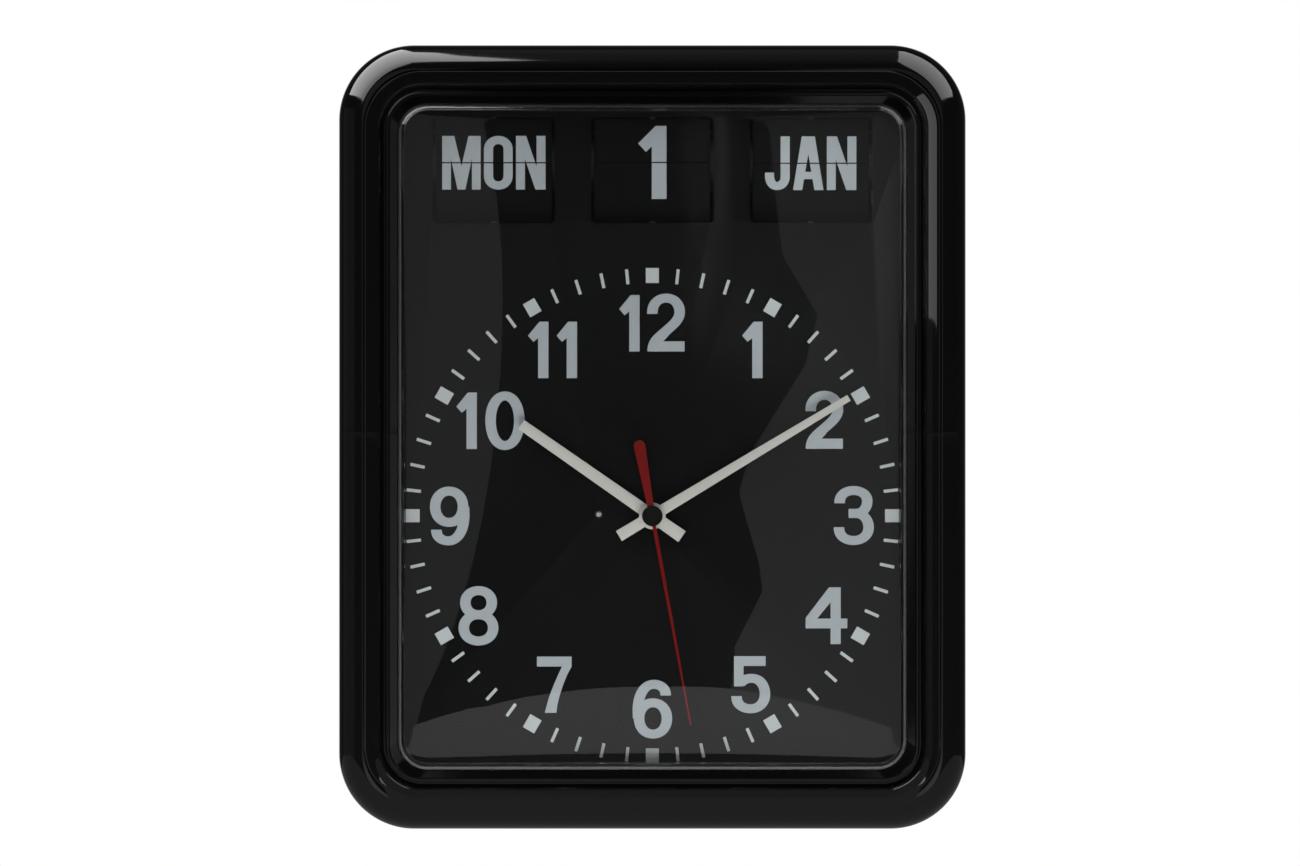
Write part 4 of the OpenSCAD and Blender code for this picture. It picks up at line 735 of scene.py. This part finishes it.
def word_faces(word, shapes, upright, level, gap):
    """Faces of a word whose middle is x = 0 and whose baseline is y = 0, and its width."""
    faces, x = [], 0.0
    for letter in word:
        shape = shapes["6" if letter == "9" else letter]
        for face in character_faces(shape, upright, level):
            if letter == "9":
                face = [(shape[0] - px, NINE_H - py) for px, py in face]
            faces.append([(px + x, py) for px, py in face])
        x += shape[0] + gap
    x -= gap
    return [[(px - x / 2, py) for px, py in face] for face in faces], x


def area_sign(face):
    return sum(a[0] * b[1] - b[0] * a[1] for a, b in zip(face, face[1:] + face[:1]))


def union_triangles(faces):
    """Triangles of the union of overlapping polygons."""
    verts, indices = [], []
    for face in faces:
        if abs(area_sign(face)) < 1e-9:
            continue
        if area_sign(face) < 0:
            face = face[::-1]
        indices.append(list(range(len(verts), len(verts) + len(face))))
        verts += [Vector(p) for p in face]
    points, _, triangles, _, _, sources = delaunay_2d_cdt(verts, [], indices, 0, 1e-4)
    return [[(points[i].x, points[i].y) for i in t]
            for t, source in zip(triangles, sources) if source]


def clip_above(face, level, sign):
    """The part of a polygon where sign * (y - level) is positive."""
    result = []
    for a, b in zip(face, face[1:] + face[:1]):
        da, db = sign * (a[1] - level), sign * (b[1] - level)
        if da >= 0:
            result.append(a)
        if da * db < 0:
            t = da / (da - db)
            result.append((a[0] + t * (b[0] - a[0]), a[1] + t * (b[1] - a[1])))
    return result


def print_on(bm, faces, to_frame, thickness=PRINT_T):
    """Adds a thin closed print; to_frame(x, y, rise) gives the point above the surface."""
    lower, upper = {}, {}

    def vert(store, p, rise):
        key = (round(p[0], 4), round(p[1], 4))
        if key not in store:
            store[key] = bm.verts.new(to_frame(key[0], key[1], rise))
        return store[key]

    edges = {}
    for face in faces:
        keys = []
        for p in face:
            key = (round(p[0], 4), round(p[1], 4))
            if key not in keys:
                keys.append(key)
        if len(keys) < 3 or abs(area_sign(keys)) < 1e-6:
            continue
        bm.faces.new([vert(upper, p, thickness) for p in keys])
        bm.faces.new([vert(lower, p, 0.0) for p in keys][::-1])
        for a, b in zip(keys, keys[1:] + keys[:1]):
            if (b, a) in edges:
                del edges[(b, a)]
            else:
                edges[(a, b)] = True
    for a, b in edges:
        bm.faces.new((vert(lower, a, 0.0), vert(lower, b, 0.0), vert(upper, b, thickness),
                      vert(upper, a, thickness)))


def shifted(faces, dx, dy):
    return [[(x + dx, y + dy) for x, y in face] for face in faces]


def on_dial(x, y, rise):
    return place(x, AXIS_Z + y, DIAL_D + rise)


def dial_prints():
    bm = bmesh.new()
    for word, (x, baseline) in DIAL_NUMERALS.items():
        faces, _ = word_faces(word, NUMERALS, NUMERAL_UPRIGHT, NUMERAL_LEVEL, NUMERAL_GAP)
        print_on(bm, union_triangles(shifted(faces, x, baseline)), on_dial)
    add_piece("dial_numerals", bm, "clock", INK)

    bm = bmesh.new()
    for minute in range(60):
        half = (HOUR_MARK_W if minute % 5 == 0 else MINUTE_MARK_W) / 2
        turn = math.radians(6 * minute)
        out = Vector((math.sin(turn), math.cos(turn)))
        side = Vector((math.cos(turn), -math.sin(turn)))
        corners = [out * r + side * s for r, s in
                   ((TRACK_INNER_R, -half), (TRACK_INNER_R, half), (TRACK_OUTER_R, half),
                    (TRACK_OUTER_R, -half))]
        print_on(bm, [[(c.x, c.y) for c in corners]], on_dial)
    add_piece("dial_minute_track", bm, "clock", TRACK_INK)


class Leaf:
    """Where a leaf of a drum lies: x across, v away from its ears, rise above one of its faces."""

    def __init__(self, drum, number):
        self.across = {"day": -WINDOW_PITCH, "date": 0.0, "month": WINDOW_PITCH}[drum]
        count = LEAVES[drum]
        self.turn = 360 * number / count
        self.swing = math.radians(180 * min(1.0, self.turn / FAN_TURN) ** FAN_EASE)
        self.foot = EAR_CIRCLE_R * math.sin(math.radians(360 / count)) / 2 - SPLIT_GAP / 2
        angle = math.radians(self.turn)
        self.ear_z = DRUM_Z + EAR_CIRCLE_R * math.sin(angle)
        self.ear_d = DRUM_D + EAR_CIRCLE_R * math.cos(angle)

    def point(self, x, v, rise, face):
        off = (LEAF_T / 2 + rise) * face
        z = self.ear_z + v * math.cos(self.swing) + off * math.sin(self.swing)
        d = self.ear_d - v * math.sin(self.swing) + off * math.cos(self.swing)
        return place(self.across + x, z, d)


def leaf_print(name, drum, word, number, half, body):
    """Half a word on a leaf: the upper half on its front, the lower half on its back."""
    leaf = Leaf(drum, number)
    big = word.isdigit()
    height, upright, level = ((FIGURE_H, FIGURE_UPRIGHT, FIGURE_LEVEL) if big
                              else (CAPS_H, CAPS_UPRIGHT, CAPS_LEVEL))
    faces, _ = word_faces(word, LEAF_CAPS, upright, level, CAPS_GAP)
    triangles = union_triangles(shifted(faces, 0, -height / 2))
    kept = []
    for face in triangles:
        face = clip_above(face, half * SPLIT_GAP, half)
        if len(face) > 2:
            kept.append(face)
    # The word's middle is the split line, half a gap below the leaf's foot
    split = leaf.foot + SPLIT_GAP / 2

    def to_frame(x, y, rise):
        return leaf.point(x, half * y - split, rise, half)

    bm = bmesh.new()
    print_on(bm, kept, to_frame, LEAF_PRINT_T)
    add_piece(name, bm, body, LEAF_INK)


def calendar_prints():
    shown = {"day": ("MON", "TUE"), "date": ("1", "2"), "month": ("JAN", "FEB")}
    for drum, (now, following) in shown.items():
        last = LEAVES[drum] - 1
        leaf_print(f"{drum}_print_upper", drum, now, 0, 1, f"{drum}_flap")
        leaf_print(f"{drum}_print_lower", drum, now, last, -1, "clock")
        leaf_print(f"{drum}_next_print_upper", drum, following, 1, 1, "clock")
        leaf_print(f"{drum}_next_print_lower", drum, following, 0, -1, f"{drum}_flap")


# Looks of the CAD nodes


def dress_nodes():
    """Gives each CAD node its slot's material, smooth shading and softened edges."""
    edge_mm = {"hour_hand": 0.14, "minute_hand": 0.14, "second_hand": 0.08,
               "second_hand_cap": 0.2, "dial_plate": 0.3, "rear_cover": 0.3,
               "battery_door": 0.3, "hanger_plate": 0.15}
    for name, node in frame["nodes"].items():
        if node.hide_render:
            continue
        node.data.materials.clear()
        dark = name == "leaf_stop_springs"
        node.data.materials.append(DARK_SPRING if dark else MATERIALS[slot_of[name]])
        for polygon in node.data.polygons:
            polygon.material_index = 0
        smooth_by_angle(node, 32)
        if name in edge_mm:
            weld = node.modifiers.new("join_faces", "WELD")
            weld.merge_threshold = 1e-6
            bevel = node.modifiers.new("soft_edges", "BEVEL")
            bevel.width = edge_mm[name] * MM
            bevel.segments = 2
            bevel.limit_method = "ANGLE"
            bevel.angle_limit = math.radians(40)
            bevel.harden_normals = True


# Studio and camera, with places in the frame's metres
CAMERA_AT = Vector((-0.0012, -2.275, -0.1700))
CAMERA_LENS = 119.3
ROOM_ON_MATT, ROOM_IN_GLOSS = 0.14, 0.05  # the world's strength on the camera's side
BEHIND_FROM, BEHIND_TO = 0.80, 0.95  # where the world turns white, on a unit sphere's y
# Staged wall behind the camera, as the lens mirrors it
CARD_Y = -3.2
WALL_X, WALL_LOW, WALL_TOP = 0.62, -0.72, 0.52
# Roof of the softboxes: the plane z = ROOF_H - ROOF_SLOPE * |x|
ROOF_H, ROOF_SLOPE = 1.3, 0.75
# Flags before the clock's middle, level with the camera and so edge-on to it
FLAG_Z, FLAG_GAP = -0.17, 0.0008
FLAG_X, FLAG_Y = (-0.6, 0.6), (-0.5, -0.092)
TABLE_X, TABLE_Y, TABLE_Z = (-0.6, 0.6), (-0.32, 0.05), -0.377
SILL_X, SILL_Y, SILL_LOW, SILL_TOP = 0.135, -0.1, -0.362, -0.344
FLOOR_HALF, FLOOR_DROP = 1.4, 0.35


def area_light(name, at, look_at, size, power, glossy=True, diffuse=True):
    light = bpy.data.lights.new(name, "AREA")
    light.shape = "RECTANGLE"
    light.size, light.size_y = size
    light.energy = power
    lamp = bpy.data.objects.new(name, light)
    lamp.location = at
    lamp.rotation_euler = (Vector(look_at) - Vector(at)).to_track_quat("-Z", "Y").to_euler()
    lamp.visible_camera = False
    lamp.visible_diffuse = diffuse
    lamp.visible_glossy = glossy
    lamp.visible_transmission = glossy
    bpy.context.scene.collection.objects.link(lamp)


def backdrop_world():
    """White behind the clock and to the camera; a dim room on the camera's side."""
    world = bpy.data.worlds.new("studio")
    bpy.context.scene.world = world
    world.use_nodes = True
    tree = world.node_tree
    background = tree.nodes["Background"]
    path = tree.nodes.new("ShaderNodeLightPath")
    behind = map_value(tree, coordinate(tree, "Y", "Generated"), BEHIND_FROM, BEHIND_TO,
                       ROOM_IN_GLOSS, 1.0, "SMOOTHSTEP")
    mirrored = calculate(tree, "MAXIMUM", path.outputs["Is Glossy Ray"],
                         path.outputs["Is Transmission Ray"])
    room = tree.nodes.new("ShaderNodeMix")
    room.inputs["A"].default_value = ROOM_ON_MATT
    tree.links.new(mirrored, room.inputs["Factor"])
    tree.links.new(behind, room.inputs["B"])
    strength = tree.nodes.new("ShaderNodeMix")
    strength.inputs["B"].default_value = 1.0
    tree.links.new(path.outputs["Is Camera Ray"], strength.inputs["Factor"])
    tree.links.new(room.outputs["Result"], strength.inputs["A"])
    tree.links.new(strength.outputs["Result"], background.inputs["Strength"])
    background.inputs["Color"].default_value = (1, 1, 1, 1)


def flat_piece(name, corners, material):
    """One flat face that is staged and isn't part of the clock."""
    mesh = bpy.data.meshes.new(name)
    mesh.from_pydata([Vector(c) for c in corners], [], [list(range(len(corners)))])
    mesh.materials.append(material)
    piece = bpy.data.objects.new(name, mesh)
    bpy.context.scene.collection.objects.link(piece)
    return piece


def card(name, corners, radiance, fade=None):
    """A staged card that only shiny surfaces see.

    A fade is (axis, where, where, radiance there): the glow runs to another value along an axis.
    """
    material = bpy.data.materials.new(name)
    material.use_nodes = True
    tree = material.node_tree
    tree.nodes.remove(tree.nodes["Principled BSDF"])
    glow = tree.nodes.new("ShaderNodeEmission")
    if fade is None:
        glow.inputs["Strength"].default_value = radiance
    else:
        axis, start, end, end_radiance = fade
        glow_at = map_value(tree, coordinate(tree, axis), start, end, radiance, end_radiance)
        tree.links.new(glow_at, glow.inputs["Strength"])
    tree.links.new(glow.outputs["Emission"], tree.nodes["Material Output"].inputs["Surface"])
    piece = flat_piece(name, corners, material)
    piece.visible_camera = False
    piece.visible_diffuse = False
    piece.visible_transmission = False
    piece.visible_shadow = False


def level_card(name, x_span, y_span, z, radiance, fade=None):
    """A staged card that lies level."""
    (x0, x1), (y0, y1) = x_span, y_span
    card(name, [(x0, y0, z), (x1, y0, z), (x1, y1, z), (x0, y1, z)], radiance, fade)


def behind_camera(x, z):
    """Where the lens mirrors the camera's gaze to, for a point of the lens face in mm."""
    half_w = CASE_W / 2 - LENS_INSET
    half_h = CASE_H / 2 - LENS_INSET
    y = z - CASE_MID
    lean_x = 2 * LENS_CROWN * x / half_w ** 2 * (1 - (y / half_h) ** 2)
    lean_z = 2 * LENS_CROWN * y / half_h ** 2 * (1 - (x / half_w) ** 2)
    at = place(x, z, LENS_D)
    normal = Vector((lean_x, -1, lean_z)).normalized()
    ray = (at - CAMERA_AT).normalized()
    out = ray - 2 * ray.dot(normal) * normal
    return at + out * ((CARD_Y - at.y) / out.y)


def lens_reflections():
    """Grey room behind the camera, with a dark gap between its walls, as the lens shows it."""
    def behind(points):
        return [behind_camera(x, z) for x, z in points]

    top_left, top_right, low_right, low_left = (
        Vector((x, CARD_Y, z)) for x, z in ((-WALL_X, WALL_TOP), (WALL_X, WALL_TOP),
                                            (WALL_X, WALL_LOW), (-WALL_X, WALL_LOW)))
    gap_edge = behind([(58, 30), (66, -80), (84, -110), (78, -135), (50, -180), (44, -200),
                       (54, -235), (56, -250), (42, -278), (40, -300)])
    arch = behind([(126, -322), (95, -312), (62, -304), (40, -300), (3, -299), (-40, -301),
                   (-85, -309), (-126, -321)])
    card("card_right", [top_right] + gap_edge + arch[2::-1] + [low_right], 0.45,
         ("Z", WALL_LOW, 0.35, 0.16))
    card("card_left", behind([(-106, 30)]) + [top_left, low_left, arch[-1]], 0.30,
         ("Z", WALL_LOW, WALL_TOP, 0.22))
    card("card_below", [low_right] + arch + [low_left], 0.78)
    card("dark_card", [corner + Vector((0, -0.05, 0)) for corner in
                         (top_left, top_right, low_right, low_left)], 0.004)


def bezel_mirror(azimuth, seen_inset, across=None):
    """Where the bezel's shoulder mirrors the camera's gaze to, on a roof over a top corner.

    The place is a corner's azimuth in degrees, or millimetres across the top edge, and the inset
    in millimetres that the camera sees from the silhouette, which lies deeper than the shoulder.
    """
    turn = math.radians(azimuth)
    side = 1 if azimuth < 90 else -1
    corner_x = side * (CASE_W / 2 - CORNER_CENTRE)
    corner_z = case_top - CORNER_CENTRE
    # Where the shoulder rises towards the camera, its true inset is more than the seen one
    off_axis = (CORNER_CENTRE + (corner_x - CAMERA_AT.x / MM) * math.cos(turn)
                + (corner_z - CAMERA_AT.z / MM) * math.sin(turn))
    camera_away = -CAMERA_AT.y / MM - CASE_D + SHOULDER_R
    inset = seen_inset
    for _ in range(5):
        rise = math.sqrt(SHOULDER_R ** 2 - (SHOULDER_R - inset) ** 2)
        inset = seen_inset + (off_axis - inset) * rise / camera_away
    lean = math.asin(1 - inset / SHOULDER_R)
    radius = CORNER_CENTRE - inset
    x = corner_x + radius * math.cos(turn)
    z = corner_z + radius * math.sin(turn)
    if across is not None:
        x = across
    at = place(x, z, CASE_D - SHOULDER_R * (1 - math.cos(lean)))
    normal = Vector((math.sin(lean) * math.cos(turn), -math.cos(lean),
                     math.sin(lean) * math.sin(turn)))
    ray = (at - CAMERA_AT).normalized()
    out = ray - 2 * ray.dot(normal) * normal
    reach = (ROOF_H - ROOF_SLOPE * side * at.x - at.z) / (out.z + ROOF_SLOPE * side * out.x)
    return at + out * reach


def corner_reflections():
    """Softboxes over the two top corners, cut so that the shoulder mirrors the right patches."""
    streak = [(-114, 8.3), (-98, 8.3), (-83, 8.2), (-61, 7.8), (-83, 6.3), (-98, 5.4), (-114, 3.8)]
    left = [bezel_mirror(90.01, inset, across) for across, inset in streak]
    left += [bezel_mirror(azimuth, inset) for azimuth, inset in
             ((100, 1.7), (115, 1.9), (130, 2.2), (145, 2.4), (159, 2.8), (161, 10.5), (145, 10.6),
              (130, 10.6), (115, 10.3), (100, 9.9), (93, 9.2))]
    card("softbox_upper_left", left, 7.0, ("Y", -0.4, -2.1, 3.2))
    right = [bezel_mirror(azimuth, inset) for azimuth, inset in
             ((84, 2.9), (80, 2.5), (70, 2.8), (55, 2.9), (40, 3.1), (25, 3.6), (20, 4.3),
              (20, 10.3), (25, 10.4), (40, 10.5), (55, 10.4), (70, 10.0), (80, 8.9), (84, 8.0))]
    card("softbox_upper_right", right, 3.8, ("Y", -0.4, -2.1, 2.5))


def studio():
    backdrop_world()
    middle = place(0, CASE_MID, 60)
    area_light("front_fill", (0, -0.5, -0.56), place(0, CASE_MID - 80, 60), (0.7, 0.25), 3.0,
               glossy=False)
    area_light("back_light", (0.6, 1.8, 0.7), middle, (1.6, 1.6), 25, glossy=False)
    # Reflector in front of the dial that only the bezel's right slope faces
    area_light("slope_light", (0.004, -0.245, -0.043), (1, -0.3, -0.043), (0.28, 0.130), 0.175,
               diffuse=False)
    # Table close under the clock, flags and a sill, as the bezel mirrors them
    level_card("table_card", TABLE_X, TABLE_Y, TABLE_Z, 0.26)
    level_card("flag_over", FLAG_X, FLAG_Y, FLAG_Z + FLAG_GAP / 2, 0.04)
    level_card("flag_under", FLAG_X, FLAG_Y, FLAG_Z - FLAG_GAP / 2, 0.22)
    card("sill_card", [(-SILL_X, SILL_Y, SILL_LOW), (SILL_X, SILL_Y, SILL_LOW),
                       (SILL_X, SILL_Y, SILL_TOP), (-SILL_X, SILL_Y, SILL_TOP)], 0.28)
    # Walls of the dim room that the top and the left shoulder mirror
    level_card("ceiling", (-0.5, 0.4), (-3.0, 0.3), 1.45, 0.20, ("Y", -0.3, -2.5, 0.08))
    card("left_wall", [(-0.8, 0.1, -0.5), (-0.8, -0.8, -0.5), (-0.8, -0.8, 0.15),
                       (-0.8, 0.1, 0.15)], 0.13)
    lens_reflections()
    corner_reflections()

    z, half = case_bottom * MM - FLOOR_DROP, FLOOR_HALF
    floor = flat_piece("floor", [(-half, -half, z), (half, -half, z), (half, half, z),
                                 (-half, half, z)],
                       surface("floor_paper", (0.86, 0.86, 0.85), 0.9, 30, spread=0.01))
    floor.visible_glossy = False


def camera():
    """Looks straight at the clock from the height of its middle."""
    data = bpy.data.cameras.new("camera")
    data.sensor_width = 36
    data.sensor_fit = "HORIZONTAL"
    data.lens = CAMERA_LENS
    eye = bpy.data.objects.new("camera", data)
    eye.location = CAMERA_AT
    eye.rotation_euler = (math.radians(90), 0, 0)
    bpy.context.scene.collection.objects.link(eye)
    bpy.context.scene.camera = eye


front_case()
window_lens()
dial_prints()
calendar_prints()
dress_nodes()
studio()
camera()
bpy.context.scene.view_settings.view_transform = "Standard"
